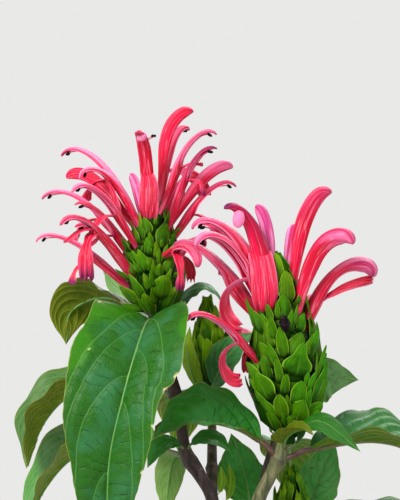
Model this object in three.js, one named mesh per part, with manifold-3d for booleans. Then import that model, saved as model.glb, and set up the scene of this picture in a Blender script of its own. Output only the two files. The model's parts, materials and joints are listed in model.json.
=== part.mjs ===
// A potted Brazilian plume flower (Justicia carnea): two plumes of pink two-lipped flowers on green bract
// cones, two unopened bract cones, dark stems with opposite drooping leaves, and a plain clay pot of soil.
// Millimetres, +Z up, +X to the right of the front view, -Y towards the viewer. The origin is the centre of
// the pot's underside.
import * as THREE from "three";
import Module from "manifold-3d";
import { mergeVertices } from "three/addons/utils/BufferGeometryUtils.js";

const wasm = await Module();
wasm.setup();

// Driving dimensions of the pot and soil.
const POT_HEIGHT = 130;
const POT_RIM_RADIUS = 81;
const POT_BASE_RADIUS = 57;
const POT_WALL = 5;
const RIM_BAND = 24;
const SOIL_LEVEL = 117;
const DRAIN_RADIUS = 5;
const DRAIN_CIRCLE = 24;

// The front view. Routes are lists of [column, row, depth]: a point seen at that pixel of the 400 by 500
// photograph, that many millimetres behind the plane of the flower heads.
const MM_PER_PIXEL = 0.5;
const CENTRE_COLUMN = 200;
const CENTRE_ROW = 250;
const EYE_DISTANCE = 900;
const EYE_HEIGHT = 325;

// Neighbouring pieces keep GAP between them.
const GAP = 0.3;
const SLIVER = 0.06;

const GREEN = { deep: 0x2c6b35, olive: 0x6b7a1c, pale: 0x6f9a63, bright: 0x7fb02a, teal: 0x2a5f48 };
const PINK = 0xe03a68;
const BRACT_GREEN = 0x5f9a1c;
const STEM_BROWN = 0x5b443f;
const CLAY = 0xb5694a;
const SOIL_BROWN = 0x3a2a20;

const rad = THREE.MathUtils.degToRad;
const lerp = THREE.MathUtils.lerp;

function seen([column, row, depth]) {
  const spread = (MM_PER_PIXEL * (EYE_DISTANCE + depth)) / EYE_DISTANCE;
  return new THREE.Vector3(
    (column - CENTRE_COLUMN) * spread,
    depth,
    EYE_HEIGHT + (CENTRE_ROW - row) * spread,
  );
}

function curveThrough(route) {
  return new THREE.CatmullRomCurve3(route.map(seen), false, "centripetal");
}

// A value from a list of [position, value] pairs, straight between them.
function along(table, s) {
  const next = table.findIndex(([at]) => at >= s);
  if (next <= 0) return next < 0 ? table.at(-1)[1] : table[0][1];
  const [from, a] = table[next - 1];
  const [to, b] = table[next];
  return lerp(a, b, (s - from) / (to - from));
}

// Solids

function solidOf(geometry) {
  const bare = geometry.clone();
  bare.deleteAttribute("normal");
  bare.deleteAttribute("uv");
  const merged = mergeVertices(bare, 1e-4);
  const solid = new wasm.Manifold(
    new wasm.Mesh({
      numProp: 3,
      vertProperties: new Float32Array(merged.attributes.position.array),
      triVerts: new Uint32Array(merged.index.array),
    }),
  );
  if (solid.volume() < 0) throw new Error("a solid is inside out");
  return solid;
}

function geometryOf(solid) {
  const { numProp, vertProperties, triVerts } = solid.getMesh();
  const count = vertProperties.length / numProp;
  const positions = new Float32Array(3 * count);
  for (let i = 0; i < count; i++)
    positions.set(vertProperties.subarray(i * numProp, i * numProp + 3), 3 * i);
  const geometry = new THREE.BufferGeometry();
  geometry.setAttribute("position", new THREE.BufferAttribute(positions, 3));
  geometry.setIndex(new THREE.BufferAttribute(new Uint32Array(triVerts), 1));
  geometry.computeVertexNormals();
  return geometry;
}

// A closed solid skinned over rings of points, all of the same count. In a blade the second half of each
// ring is the lower face, which is split into triangles along the same diagonals as the upper one.
function loft(rings, blade = false) {
  const n = rings[0].length;
  const faces = [];
  for (let i = 0; i + 1 < rings.length; i++)
    for (let j = 0; j < n; j++) {
      const a = i * n + j;
      const b = i * n + ((j + 1) % n);
      const [c, d] = [a + n, b + n];
      if (blade && j >= n / 2) faces.push(a, b, c, b, d, c);
      else faces.push(a, b, d, a, d, c);
    }
  const last = (rings.length - 1) * n;
  for (let j = 1; j + 1 < n; j++) {
    faces.push(0, j + 1, j);
    faces.push(last, last + j, last + j + 1);
  }
  const points = rings.flat();
  const sixth = (f) => points[faces[f]].dot(points[faces[f + 1]].clone().cross(points[faces[f + 2]]));
  let volume = 0;
  for (let f = 0; f < faces.length; f += 3) volume += sixth(f);
  if (volume < 0) faces.reverse();
  const geometry = new THREE.BufferGeometry();
  geometry.setAttribute(
    "position",
    new THREE.Float32BufferAttribute(points.flatMap((p) => [p.x, p.y, p.z]), 3),
  );
  geometry.setIndex(faces);
  return solidOf(geometry);
}

function union(solids) {
  return wasm.Manifold.union(solids);
}

// Joining leaves many slivers, which can go without a visible change.
const simpler = (solid) => solid.asOriginal().simplify(SLIVER);

// Cutting can leave a loose scrap: the largest body is the piece.
function largestBody(solid) {
  const bodies = solid.decompose();
  return bodies.reduce((best, b) => (b.volume() > best.volume() ? b : best));
}

function lathed(profile, segments) {
  return solidOf(new THREE.LatheGeometry(profile, segments).rotateX(Math.PI / 2));
}

// Pot and soil

const POT_SEGMENTS = 30;
const potOuter = (z) => lerp(POT_BASE_RADIUS, POT_RIM_RADIUS - 6, z / POT_HEIGHT);
const potInner = (z) => potOuter(z) - POT_WALL;

function potSolid() {
  const band = POT_HEIGHT - RIM_BAND;
  const profile = [
    [0, 0],
    [POT_BASE_RADIUS - 1.5, 0],
    [POT_BASE_RADIUS, 1.5],
    [potOuter(band), band],
    [POT_RIM_RADIUS - 1.5, band + 1],
    [POT_RIM_RADIUS - 0.5, band + 3],
    [POT_RIM_RADIUS, POT_HEIGHT - 3],
    [POT_RIM_RADIUS - 2, POT_HEIGHT],
    [potInner(POT_HEIGHT) + 2, POT_HEIGHT],
    [potInner(POT_HEIGHT - 3), POT_HEIGHT - 3],
    [potInner(POT_WALL + 1), POT_WALL + 1],
    [0, POT_WALL + 1],
  ].map(([r, z]) => new THREE.Vector2(r, z));
  const drains = [90, 210, 330].map((angle) =>
    solidOf(
      new THREE.CylinderGeometry(DRAIN_RADIUS, DRAIN_RADIUS, 4 * POT_WALL, 12)
        .rotateX(Math.PI / 2)
        .translate(DRAIN_CIRCLE * Math.cos(rad(angle)), DRAIN_CIRCLE * Math.sin(rad(angle)), 0),
    ),
  );
  return lathed(profile, POT_SEGMENTS).subtract(union(drains));
}

// Lumps of about a millimetre on the soil, in two crossing waves.
const soilLump = (x, y) =>
  1.1 * Math.sin(x / 5.2) * Math.cos(y / 6.1) + 0.8 * Math.sin((x + 1.7 * y) / 9.3);

function soilSolid(stems) {
  const foot = POT_WALL + 1 + GAP;
  const top = [1, 0.8, 0.56, 0.3, 0].map((share) => [
    share * (potInner(SOIL_LEVEL) - GAP),
    SOIL_LEVEL + 2.5 * (1 - share * share),
  ]);
  const profile = [[0, foot], [potInner(foot) - GAP, foot], ...top];
  const points = profile.map(([r, z]) => new THREE.Vector2(r, z));
  const geometry = new THREE.LatheGeometry(points, POT_SEGMENTS).rotateX(Math.PI / 2);
  const position = geometry.attributes.position;
  for (let i = 0; i < position.count; i++) {
    const [x, y, z] = [position.getX(i), position.getY(i), position.getZ(i)];
    if (z > SOIL_LEVEL + 0.1) position.setZ(i, z + soilLump(x, y));
  }
  return largestBody(solidOf(geometry).subtract(union(stems)));
}

// Stems. Each shoot has a route, its radius at the foot and tip, and the joints where leaves leave it, as
// shares of its length, where the stem is swollen.

const STEM_SIDES = 8;
const JOINT_SWELLING = 0.28;
const JOINT_REACH = 0.03;

const STEMS = {
  stem_left: [
    {
      route: [[184, 745, 8], [185, 664, 8], [196, 600, 6], [209, 545, 3], [212, 499, 1],
        [199, 474, 0], [186, 453, -1], [181, 425, 0], [174, 388, 2], [164, 348, 5], [157, 313, 8]],
      radii: [4.4, 2.2],
      joints: [0.44, 0.66, 0.81, 0.985],
      steps: 17,
    },
    {
      route: [[212, 506, 2], [212, 471, 10], [212, 430, 20], [212, 405, 26], [212, 384, 30]],
      radii: [2.9, 1.8],
      joints: [0.3, 0.97],
      steps: 8,
    },
  ],
  stem_right: [
    {
      route: [[236, 745, -6], [236, 664, -6], [241, 600, -8], [250, 545, -9], [259, 499, -10],
        [269, 478, -10], [279, 459, -11], [287, 434, -12]],
      radii: [4.6, 2.9],
      joints: [0.5, 0.915],
      steps: 15,
    },
    {
      route: [[258, 500, -9], [266, 466, 2], [274, 441, 9], [277, 431, 10]],
      radii: [1.8, 1.3],
      joints: [0.9],
      steps: 5,
    },
  ],
  stem_low: [
    {
      route: [[262, 745, 16], [262, 664, 16], [272, 622, 19], [284, 576, 22], [291, 537, 24]],
      radii: [3.4, 2.1],
      joints: [0.6],
      steps: 10,
    },
  ],
};

function shoot({ route, radii, joints, steps }, grow = 0) {
  const curve = curveThrough(route);
  const rings = [];
  for (let i = 0; i <= steps; i++) {
    const s = i / steps;
    const centre = curve.getPointAt(s);
    const tangent = curve.getTangentAt(s);
    const side = new THREE.Vector3(0, 1, 0).cross(tangent).normalize();
    const front = tangent.clone().cross(side);
    const swelling = joints.reduce((sum, j) => sum + Math.exp(-(((s - j) / JOINT_REACH) ** 2)), 0);
    const radius = lerp(radii[0], radii[1], s) * (1 + JOINT_SWELLING * swelling) + grow;
    rings.push(
      Array.from({ length: STEM_SIDES }, (_, k) => {
        const angle = (2 * Math.PI * k) / STEM_SIDES;
        return centre
          .clone()
          .addScaledVector(side, radius * Math.cos(angle))
          .addScaledVector(front, radius * Math.sin(angle));
      }),
    );
  }
  return loft(rings);
}

const stemSolid = (shoots, grow = 0) => union(shoots.map((s) => shoot(s, grow)));

// Leaves. The first point of a route is on the stem and the second is where the blade begins. `halves` are
// the widths of the blade's two halves, to the left and the right of someone who looks along the leaf from
// its stem. `heading` is the way the leaf points in plan: 0 right, 90 back, 180 left, 270 front. `roll` lifts
// the left half, and `fold` lifts both halves from the midrib. A positive `cup` turns the margins down. A low
// `peak` puts the widest part nearer the stem. An `outline` gives each half's width along the blade in its
// place, as shares of the widest.

const BLADE_THICKNESS = 1.3;
const PETIOLE_RADIUS = 1.5;
const PETIOLE_STEPS = 2;
const BLADE_PEAK = 0.82;
const SLIM_BLADE = 7;
const WAVES = 4.5;
const WAVE_HEIGHT = 1.3;
const WAVY_HALF = 16;

const LEAVES = [
  {
    name: "leaf_front", stem: "stem_left", tone: "deep", steps: 13,
    heading: 262, roll: 4, fold: 30, cup: 0.1, halves: [30, 30.5],
    outline: [
      [[0, 0.5], [0.06, 0.65], [0.14, 0.88], [0.22, 0.97], [0.32, 1], [0.38, 0.72], [0.5, 0.71], [0.6, 0.67],
        [0.74, 0.48], [0.88, 0.28], [1, 0]],
      [[0, 0.75], [0.08, 0.91], [0.3, 1], [0.44, 0.96], [0.56, 0.78], [0.66, 0.59], [0.78, 0.46],
        [0.9, 0.28], [1, 0]],
    ],
    route: [[157, 327, 8], [151.5, 320, -7], [146, 323, -24], [136, 350, -38], [122, 400, -46],
      [110, 454, -46], [107, 510, -40], [110, 566, -32]],
  },
  {
    name: "leaf_upper_left", stem: "stem_left", tone: "olive", steps: 10,
    heading: 125, roll: 20, fold: 10, cup: 0.1, halves: [21, 21],
    route: [[157, 327, 8], [146, 318, 24], [124, 300, 36], [96, 297, 42], [70, 313, 45], [66, 345, 44]],
  },
  {
    name: "leaf_mid_left", stem: "stem_left", tone: "deep", steps: 11,
    heading: 180, roll: -4, fold: 50, cup: 0.1, peak: 1.7, halves: [23, 31],
    route: [[176, 398, 1], [144, 382, 12], [98, 380, 18], [66, 396, 19], [42, 424, 18], [26, 469, 14]],
  },
  {
    name: "leaf_low_left", stem: "stem_left", tone: "deep", steps: 11,
    heading: 180, roll: -10, fold: 46, cup: 0.1, peak: 0.88, halves: [22, 27],
    route: [[187, 457, 0], [156, 448, 14], [110, 438, 26], [70, 458, 29], [43, 490, 27], [20, 542, 22]],
  },
  {
    name: "leaf_mid_right", stem: "stem_right", tone: "deep", steps: 11,
    heading: 180, roll: -24, fold: 38, cup: 0.12, peak: 1, halves: [13, 24],
    route: [[280, 460, -11], [261, 441, -13], [244, 430, -15], [216, 422, -20], [188, 421, -23],
      [152, 438, -23]],
  },
  {
    name: "leaf_right", stem: "stem_right", tone: "deep", steps: 11,
    heading: 0, roll: 5, fold: 38, cup: 0.1, halves: [28, 20],
    route: [[280, 461, -11], [310, 449, -13], [344, 442, -12], [374, 440, -11], [404, 447, -7],
      [434, 470, -1], [450, 502, 4]],
  },
  {
    name: "leaf_under_head", stem: "stem_right", tone: "deep", steps: 8,
    heading: 340, roll: 35, fold: 14, cup: 0.2, halves: [7, 6.5],
    route: [[286, 450, -11], [296, 443, -25], [307, 424, -32], [322, 422, -35], [340, 434, -37],
      [361, 452, -37]],
  },
  {
    name: "leaf_curled", stem: "stem_right", tone: "olive", steps: 7,
    heading: 330, roll: 10, fold: 35, cup: -0.1, halves: [7, 8],
    route: [[284, 448, -12], [283, 443, -25], [288, 435, -34], [297, 430, -39], [306, 430, -42],
      [314, 435, -44]],
  },
  {
    name: "leaf_behind_right", stem: "stem_right", tone: "teal", steps: 10,
    heading: 0, roll: 66, fold: 12, cup: 0.15, halves: [13, 13],
    route: [[277, 433, 9.5], [290, 404, 20], [308, 385, 28], [325, 377, 30], [342, 377, 31],
      [359, 380, 32]],
  },
  {
    name: "leaf_between_heads", stem: "stem_left", tone: "teal", steps: 9,
    heading: 8, roll: 12, fold: 4, cup: 0.25, halves: [9, 9],
    route: [[158, 334, 7], [172, 314, 24], [188, 291, 25], [206, 284, 24], [220, 296, 25],
      [225, 312, 26]],
  },
  {
    name: "leaf_bud_front", stem: "stem_left", tone: "teal", steps: 9,
    heading: 345, roll: 60, fold: 16, cup: 0.1, halves: [11, 10],
    route: [[212, 396, 27], [213, 386, 16], [223, 362, 8], [238, 345, 5], [253, 332, 4]],
  },
  {
    name: "leaf_bud_side", stem: "stem_left", tone: "bright", steps: 7,
    heading: 215, roll: 20, fold: 20, cup: 0, halves: [5, 6],
    route: [[211, 403, 26], [201, 392, 22], [191, 368, 17], [188, 346, 15], [190, 326, 15]],
  },
  {
    name: "leaf_behind_middle", stem: "stem_right", tone: "deep", steps: 10,
    heading: 110, roll: 0, fold: 12, cup: 0.1, halves: [17, 12],
    route: [[253, 531, -9], [250, 508, 14], [247, 484, 27], [240, 458, 35], [231, 433, 38]],
  },
  {
    name: "leaf_behind_low_right", stem: "stem_low", tone: "teal", steps: 10,
    heading: 65, roll: 0, fold: 12, cup: 0.1, halves: [13, 13],
    route: [[287, 562, 22.8], [303, 528, 36], [313, 494, 43], [325, 464, 46], [334, 436, 46]],
  },
  {
    name: "leaf_hanging", stem: "stem_left", tone: "pale", steps: 8,
    heading: 100, roll: 0, fold: 14, cup: 0.1, halves: [8, 8],
    route: [[188, 461, 0], [184, 452, 16], [174, 458, 27], [168, 486, 32], [166, 520, 30]],
  },
  {
    name: "leaf_small_back", stem: "stem_left", tone: "olive", steps: 6,
    heading: 150, roll: 0, fold: 20, cup: 0, halves: [6, 6],
    route: [[181, 428, 0], [174, 421, 12], [164, 427, 19], [156, 445, 21]],
  },
  {
    name: "leaf_small_right", stem: "stem_left", tone: "deep", steps: 8,
    heading: 350, roll: 30, fold: 20, cup: 0.1, halves: [6.5, 6.5],
    route: [[186, 454, -1], [191, 444, -5], [205, 438, -9], [219, 441, -11], [231, 452, -12]],
  },
  {
    name: "leaf_small_left", stem: "stem_left", tone: "deep", steps: 8,
    heading: 195, roll: -30, fold: 20, cup: 0.1, halves: [6.5, 6.5],
    route: [[186, 454, -1], [181, 446, -5], [168, 443, -9], [157, 450, -12], [147, 468, -13]],
  },
  {
    name: "leaf_drooping", stem: "stem_right", tone: "teal", steps: 6,
    heading: 150, roll: 40, fold: 20, cup: 0, halves: [4, 5],
    route: [[277, 435, 9.5], [272, 432, 16], [268, 416, 18], [262, 398, 19]],
  },
  {
    name: "shoot_leaf_a", stem: "stem_left", tone: "bright", steps: 5,
    heading: 20, roll: 60, fold: 10, cup: 0, halves: [2.2, 2.2],
    route: [[213, 500, 2.5], [219, 493, 4], [222, 482, 5], [221, 466, 5]],
  },
  {
    name: "shoot_leaf_b", stem: "stem_left", tone: "bright", steps: 5,
    heading: 20, roll: 60, fold: 10, cup: 0, halves: [2.2, 2.2],
    route: [[212, 510, 2], [226, 500, 9], [231, 484, 11], [229, 463, 12]],
  },
  {
    name: "leaf_upper_back", stem: "stem_left", tone: "pale", steps: 8,
    heading: 110, roll: 0, fold: 14, cup: 0.1, halves: [10, 10],
    route: [[161, 346, 5], [153, 328, 46], [136, 306, 64], [118, 287, 74], [102, 267, 82]],
  },
  {
    name: "leaf_back_high", stem: "stem_left", tone: "deep", steps: 7,
    heading: 100, roll: 0, fold: 20, cup: 0.1, halves: [18, 18],
    route: [[164, 358, 4], [163, 350, 34], [158, 350, 60], [152, 368, 82], [149, 400, 94]],
  },
  {
    name: "leaf_back_mid", stem: "stem_left", tone: "deep", steps: 7,
    heading: 80, roll: 0, fold: 20, cup: 0.1, halves: [19, 19],
    route: [[176, 398, 1], [178, 392, 30], [180, 396, 60], [180, 418, 86], [178, 452, 98]],
  },
  {
    name: "leaf_back_right", stem: "stem_right", tone: "deep", steps: 7,
    heading: 75, roll: 0, fold: 20, cup: 0.1, halves: [18, 18],
    route: [[279, 459, -11], [285, 445, 24], [289, 446, 56], [291, 470, 82], [292, 506, 94]],
  },
  {
    name: "leaf_low_front_left", stem: "stem_left", tone: "deep", steps: 7,
    heading: 240, roll: 0, fold: 18, cup: 0.12, halves: [19, 19],
    route: [[209, 545, 3], [196, 536, -22], [178, 545, -52], [158, 580, -80], [146, 626, -94]],
  },
  {
    name: "leaf_low_front_right", stem: "stem_right", tone: "deep", steps: 7,
    heading: 300, roll: 0, fold: 18, cup: 0.12, halves: [19, 19],
    route: [[246, 565, -9], [262, 552, -36], [281, 560, -66], [298, 592, -90], [308, 636, -102]],
  },
  {
    name: "leaf_low_right", stem: "stem_right", tone: "deep", steps: 7,
    heading: 350, roll: 6, fold: 18, cup: 0.12, halves: [18, 18],
    route: [[247, 560, -9], [300, 528, -14], [352, 513, -22], [398, 514, -28], [436, 540, -34],
      [462, 584, -38]],
  },
  {
    name: "leaf_low_far_left", stem: "stem_left", tone: "deep", steps: 7,
    heading: 178, roll: 0, fold: 18, cup: 0.12, halves: [18, 18],
    route: [[205, 560, 4], [168, 552, 2], [122, 556, -4], [80, 584, -10], [54, 628, -14]],
  },
  {
    name: "leaf_low_back_left", stem: "stem_left", tone: "deep", steps: 7,
    heading: 130, roll: 0, fold: 18, cup: 0.12, halves: [18, 18],
    route: [[197, 596, 6], [178, 566, 34], [150, 548, 62], [122, 560, 88], [104, 600, 102]],
  },
  {
    name: "leaf_low_back", stem: "stem_low", tone: "deep", steps: 7,
    heading: 85, roll: 0, fold: 18, cup: 0.12, halves: [18, 18],
    route: [[268, 640, 17], [262, 590, 44], [262, 562, 76], [266, 572, 106], [270, 608, 124]],
  },
  {
    name: "leaf_low_back_right", stem: "stem_low", tone: "deep", steps: 7,
    heading: 25, roll: 0, fold: 18, cup: 0.12, halves: [18, 18],
    route: [[277, 604, 20.5], [308, 574, 34], [348, 562, 50], [390, 580, 64], [416, 620, 72]],
  },
];

const bladeShare = (s, peak) => Math.sin(Math.PI * s ** peak) ** (0.8 + 0.35 * s);

function leafSolid({ route, halves, outline, heading, roll, fold, cup, steps, peak = BLADE_PEAK }) {
  const curve = curveThrough(route);
  const lengths = curve.getLengths(8 * (route.length - 1));
  const bladeStart = lengths[8] / lengths.at(-1);
  const acrossFlat = new THREE.Vector3(-Math.sin(rad(heading)), Math.cos(rad(heading)), 0);
  const slim = Math.max(...halves) < SLIM_BLADE;
  const waveHeight = WAVE_HEIGHT * Math.min(1, Math.max(...halves) / WAVY_HALF) ** 2;
  const rings = [];
  for (let i = 0; i <= PETIOLE_STEPS + steps; i++) {
    const s = Math.max(0, (i - PETIOLE_STEPS) / steps);
    const u = i < PETIOLE_STEPS ? (bladeStart * i) / PETIOLE_STEPS : lerp(bladeStart, 1, s);
    const centre = curve.getPointAt(u);
    const tangent = curve.getTangentAt(u);
    const flat = acrossFlat.clone().addScaledVector(tangent, -acrossFlat.dot(tangent)).normalize();
    const turn = rad(roll) * Math.min(1, i / PETIOLE_STEPS);
    const left = flat.clone().applyAxisAngle(tangent, turn);
    const normal = tangent.clone().cross(left);
    const near = Math.min(s, 0.985);
    const spread = bladeShare(near, peak);
    const petiole = lerp(PETIOLE_RADIUS, 0, Math.min(1, s * 2.2));
    const lift = rad(fold) * (1 - 0.5 * s);
    const halfThickness = Math.max(petiole, BLADE_THICKNESS / 2 - 0.15 * s);
    const place = (side, share, thick) => {
      const half = side > 0 ? 0 : 1;
      const width = outline && i >= PETIOLE_STEPS ? along(outline[half], near) : spread;
      const reach = Math.max(halves[half] * width, petiole);
      const wave = waveHeight * spread * share * share * Math.sin(2 * Math.PI * WAVES * s + side);
      const rise = share * reach * Math.sin(lift) - cup * share * share * reach;
      return centre
        .clone()
        .addScaledVector(left, side * share * reach * Math.cos(lift))
        .addScaledVector(normal, rise + wave + thick * halfThickness);
    };
    const upper = [place(1, 0.52, 0.8), place(1, 0, 1), place(-1, 0.52, 0.8)];
    const lower = [place(-1, 0.52, -0.8), place(1, 0, -1), place(1, 0.52, -0.8)];
    if (slim) rings.push([place(1, 1, 0), upper[1], place(-1, 1, 0), lower[1]]);
    else rings.push([place(1, 1, 0), ...upper, place(-1, 1, 0), ...lower]);
  }
  return loft(rings, true);
}

// Flower heads. A head is a cone of bracts round a straight axis from `base` to `top`. Heights and radii
// are measured along and from that axis, and azimuths round it: 0 right, 90 back, 180 left, 270 front.

const GOLDEN_ANGLE = 137.5;
const LAST_BRACT = 0.84;
const CORE_SHARES = [-0.02, 0.05, 0.3, 0.6, 0.86];
const RACHIS_RADIUS = 2.4;
const RACHIS_FOOT = 5;
const RACHIS_TIP = 2;

const HEADS = {
  head_left: {
    base: [153, 318, 8], top: [153, 198, 8], radius: 15.5, bracts: 34, bractLength: 21, bractWidth: 12.5,
  },
  head_right: {
    base: [289, 440, -12], top: [275, 252, -12], radius: 20, bracts: 46, bractLength: 26, bractWidth: 15,
  },
  bud_head_middle: {
    base: [212, 387, 30], top: [207, 295, 30], radius: 9.5, bracts: 19, bractLength: 20, bractWidth: 9.5,
  },
  bud_head_low: {
    base: [292, 540, 24], top: [290, 461, 22], radius: 9.5, bracts: 18, bractLength: 18, bractWidth: 8.5,
  },
};

// Each flower leaves the axis at `h`, climbs at `rise` degrees and bends down by `bend` degrees, mostly near
// its tip. `girth` scales its sections, and `knob` those near its tip. A bud is closed. The lower lip of an
// open flower parts `at` that share of its length, turns down sharply by `reflex` degrees, curls on by `curl`
// degrees over its own length and turns about itself by `twist` degrees. It hangs in the flower's own plane
// unless it has an azimuth of its own.
const LIP = { at: 0.48, reflex: 25, curl: 120, length: 22, halfWidth: 3.6, twist: 0 };
const FLOWERS = {
  head_left: [
    { h: 54, az: 4, rise: 93, bend: 96, length: 57, bud: true },
    { h: 48, az: 50, rise: 85, bend: 98, length: 61 },
    { h: 49, az: 351, rise: 78, bend: 96, length: 59 },
    {
      h: 30, az: 341, rise: 71, bend: 60, length: 68,
      lip: { at: 0.6, reflex: 10, curl: 174, length: 17, halfWidth: 2.4 },
    },
    { h: 39, az: 20, rise: 62, bend: 76, length: 60, bud: true },
    { h: 30, az: 8, rise: 63, bend: 82, length: 60, lip: { reflex: 40, curl: 120, length: 17 } },
    {
      h: 45, az: 266, rise: 88, bend: 85, length: 57, girth: 1.15,
      lip: { at: 0.5, reflex: 68, curl: 156, length: 30, halfWidth: 4.8 },
    },
    { h: 38, az: 149, rise: 82, bend: 25, length: 38, bud: true, girth: 0.8 },
    {
      h: 38, az: 189, rise: 73, bend: 145, length: 58,
      lip: { at: 0.68, reflex: 150, curl: -16, length: 22, halfWidth: 4.8, az: 199 },
    },
    { h: 42, az: 159, rise: 64, bend: 106, length: 72 },
    { h: 38, az: 158, rise: 58, bend: 91, length: 63, bud: true },
    { h: 27, az: 214, rise: 62, bend: 98, length: 65 },
    { h: 26, az: 174, rise: 55, bend: 98, length: 72 },
    {
      h: 13, az: 216, rise: 55, bend: 93, length: 70,
      lip: { at: 0.66, reflex: 20, curl: 70, length: 20, halfWidth: 2.4 },
    },
    {
      h: 9, az: 186, rise: 47, bend: 75, length: 70,
      lip: { at: 0.51, reflex: 35, curl: 95, length: 20, halfWidth: 2.4, az: 202 },
    },
    {
      h: 11, az: 205, rise: 58, bend: 60, length: 52,
      lip: { at: 0.69, reflex: 30, curl: 140, length: 33, halfWidth: 4, az: 254 },
    },
    { h: 20, az: 196, rise: 61, bend: 60, length: 57 },
    {
      h: 31, az: 297, rise: 22, bend: 112, length: 56,
      lip: { at: 0.42, reflex: 13, curl: 132, length: 25, az: 291 },
    },
    { h: 40, az: 31, rise: 80, bend: 150, length: 46, lip: { at: 0.7, reflex: 110, curl: 90, length: 14 } },
    { h: 26, az: 95, rise: 55, bend: 100, length: 58 },
    { h: 16, az: 58, rise: 46, bend: 90, length: 58 },
  ],
  head_right: [
    { h: 59, az: 358, rise: 82, bend: 66, length: 72, bud: true, girth: 1.2 },
    { h: 45, az: 328, rise: 77, bend: 130, length: 76, bud: true, girth: 1.2 },
    {
      h: 36, az: 0, rise: 73, bend: 149, length: 76, girth: 1.3, knob: 1.6,
      lip: { at: 0.43, reflex: 17, curl: 47, length: 32, halfWidth: 2.8, twist: 50 },
    },
    { h: 57, az: 45, rise: 82, bend: 20, length: 52, bud: true, girth: 1.05 },
    { h: 66, az: 135, rise: 96, bend: 58, length: 52, bud: true },
    {
      h: 49, az: 218, rise: 88, bend: 72, length: 74, girth: 1.15,
      lip: { at: 0.61, reflex: 108, curl: 119, length: 35, halfWidth: 6.4, az: 277 },
    },
    { h: 58, az: 192, rise: 78, bend: 119, length: 73 },
    { h: 54, az: 212, rise: 73, bend: 126, length: 74 },
    {
      h: 50, az: 185, rise: 63, bend: 62, length: 74,
      lip: { at: 0.51, reflex: 92, curl: 147, length: 29, halfWidth: 3.6, az: 197, twist: 65 },
    },
    { h: 54, az: 171, rise: 75, bend: 76, length: 72 },
    {
      h: 28, az: 209, rise: 56, bend: 83, length: 68,
      lip: { at: 0.46, reflex: 35, curl: 201, length: 31, halfWidth: 4.2, az: 198, twist: 60 },
    },
    { h: 50, az: 100, rise: 52, bend: 100, length: 58 },
    { h: 43, az: 62, rise: 48, bend: 95, length: 60 },
    { h: 35, az: 120, rise: 42, bend: 90, length: 54 },
    { h: 27, az: 84, rise: 42, bend: 95, length: 58 },
  ],
};

const EMERGE_DROP = 38;
const EMERGE_LENGTH = 7;
const PATH_STEPS = 60;
const OPEN_WIDTH = [[0, 1.3], [0.25, 1.6], [0.48, 2.8], [0.75, 3], [0.93, 2.4], [1, 1.2]];
const OPEN_DEPTH = [[0, 1.3], [0.25, 1.6], [0.48, 2.3], [0.6, 1.9], [0.93, 1.4], [1, 0.8]];
const BUD_WIDTH = [[0, 1.3], [0.25, 1.7], [0.5, 2.5], [0.8, 2.9], [0.95, 2.5], [1, 1.5]];
const BUD_DEPTH = [[0, 1.3], [0.25, 1.8], [0.5, 3.0], [0.78, 3.4], [0.94, 2.8], [1, 1.7]];
const FLOWER_STATIONS = [0, 0.25, 0.48, 0.68, 0.82, 0.92, 1];
const FLOWER_SIDES = 5;
const KNOB_START = 0.75;
const LIP_STATIONS = [0, 0.35, 0.7, 1];
const LIP_SHAPE = [[0, 0.5], [0.3, 0.85], [0.7, 1], [0.9, 0.9], [1, 0.6]];
const LIP_THICKNESS = 1;

function headFrame({ base, top }) {
  const foot = seen(base);
  const axis = seen(top).sub(foot);
  const length = axis.length();
  const up = axis.normalize();
  const right = new THREE.Vector3(1, 0, 0).addScaledVector(up, -up.x).normalize();
  const back = up.clone().cross(right);
  const out = (azimuth) =>
    right
      .clone()
      .multiplyScalar(Math.cos(rad(azimuth)))
      .addScaledVector(back, Math.sin(rad(azimuth)));
  const at = (radius, azimuth, height) =>
    foot.clone().addScaledVector(out(azimuth), radius).addScaledVector(up, height);
  return { foot, up, out, at, length };
}

const coneRadius = (radius, share) => radius * Math.sin(Math.PI * Math.min(share, 0.97) ** 0.65) ** 0.7;

// A path in the upright plane of one azimuth, as centres with the directions along, out of its upper side
// and across it. `elevation` gives its climb in degrees at each share of its length.
function bentPath(start, out, up, length, elevation) {
  const across = up.clone().cross(out);
  const stations = [];
  const centre = start.clone();
  for (let i = 0; i <= PATH_STEPS; i++) {
    const s = i / PATH_STEPS;
    const e = rad(elevation(s));
    const tangent = out.clone().multiplyScalar(Math.cos(e)).addScaledVector(up, Math.sin(e));
    const upper = out.clone().multiplyScalar(-Math.sin(e)).addScaledVector(up, Math.cos(e));
    stations.push({ centre: centre.clone(), tangent, upper, across });
    centre.addScaledVector(tangent, length / PATH_STEPS);
  }
  return (s) => stations[Math.round(s * PATH_STEPS)];
}

const climb = ({ rise, bend, length }, s) =>
  rise - bend * (0.15 * s + 0.85 * s ** 5) - EMERGE_DROP * Math.exp((-s * length) / EMERGE_LENGTH);

const twisted = ({ centre, tangent, upper, across }, angle) => ({
  centre,
  upper: upper.clone().applyAxisAngle(tangent, angle),
  across: across.clone().applyAxisAngle(tangent, angle),
});

function ellipseRing({ centre, upper, across }, width, depth, sides) {
  return Array.from({ length: sides }, (_, k) => {
    const angle = (2 * Math.PI * k) / sides;
    return centre
      .clone()
      .addScaledVector(across, width * Math.cos(angle))
      .addScaledVector(upper, depth * Math.sin(angle));
  });
}

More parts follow.
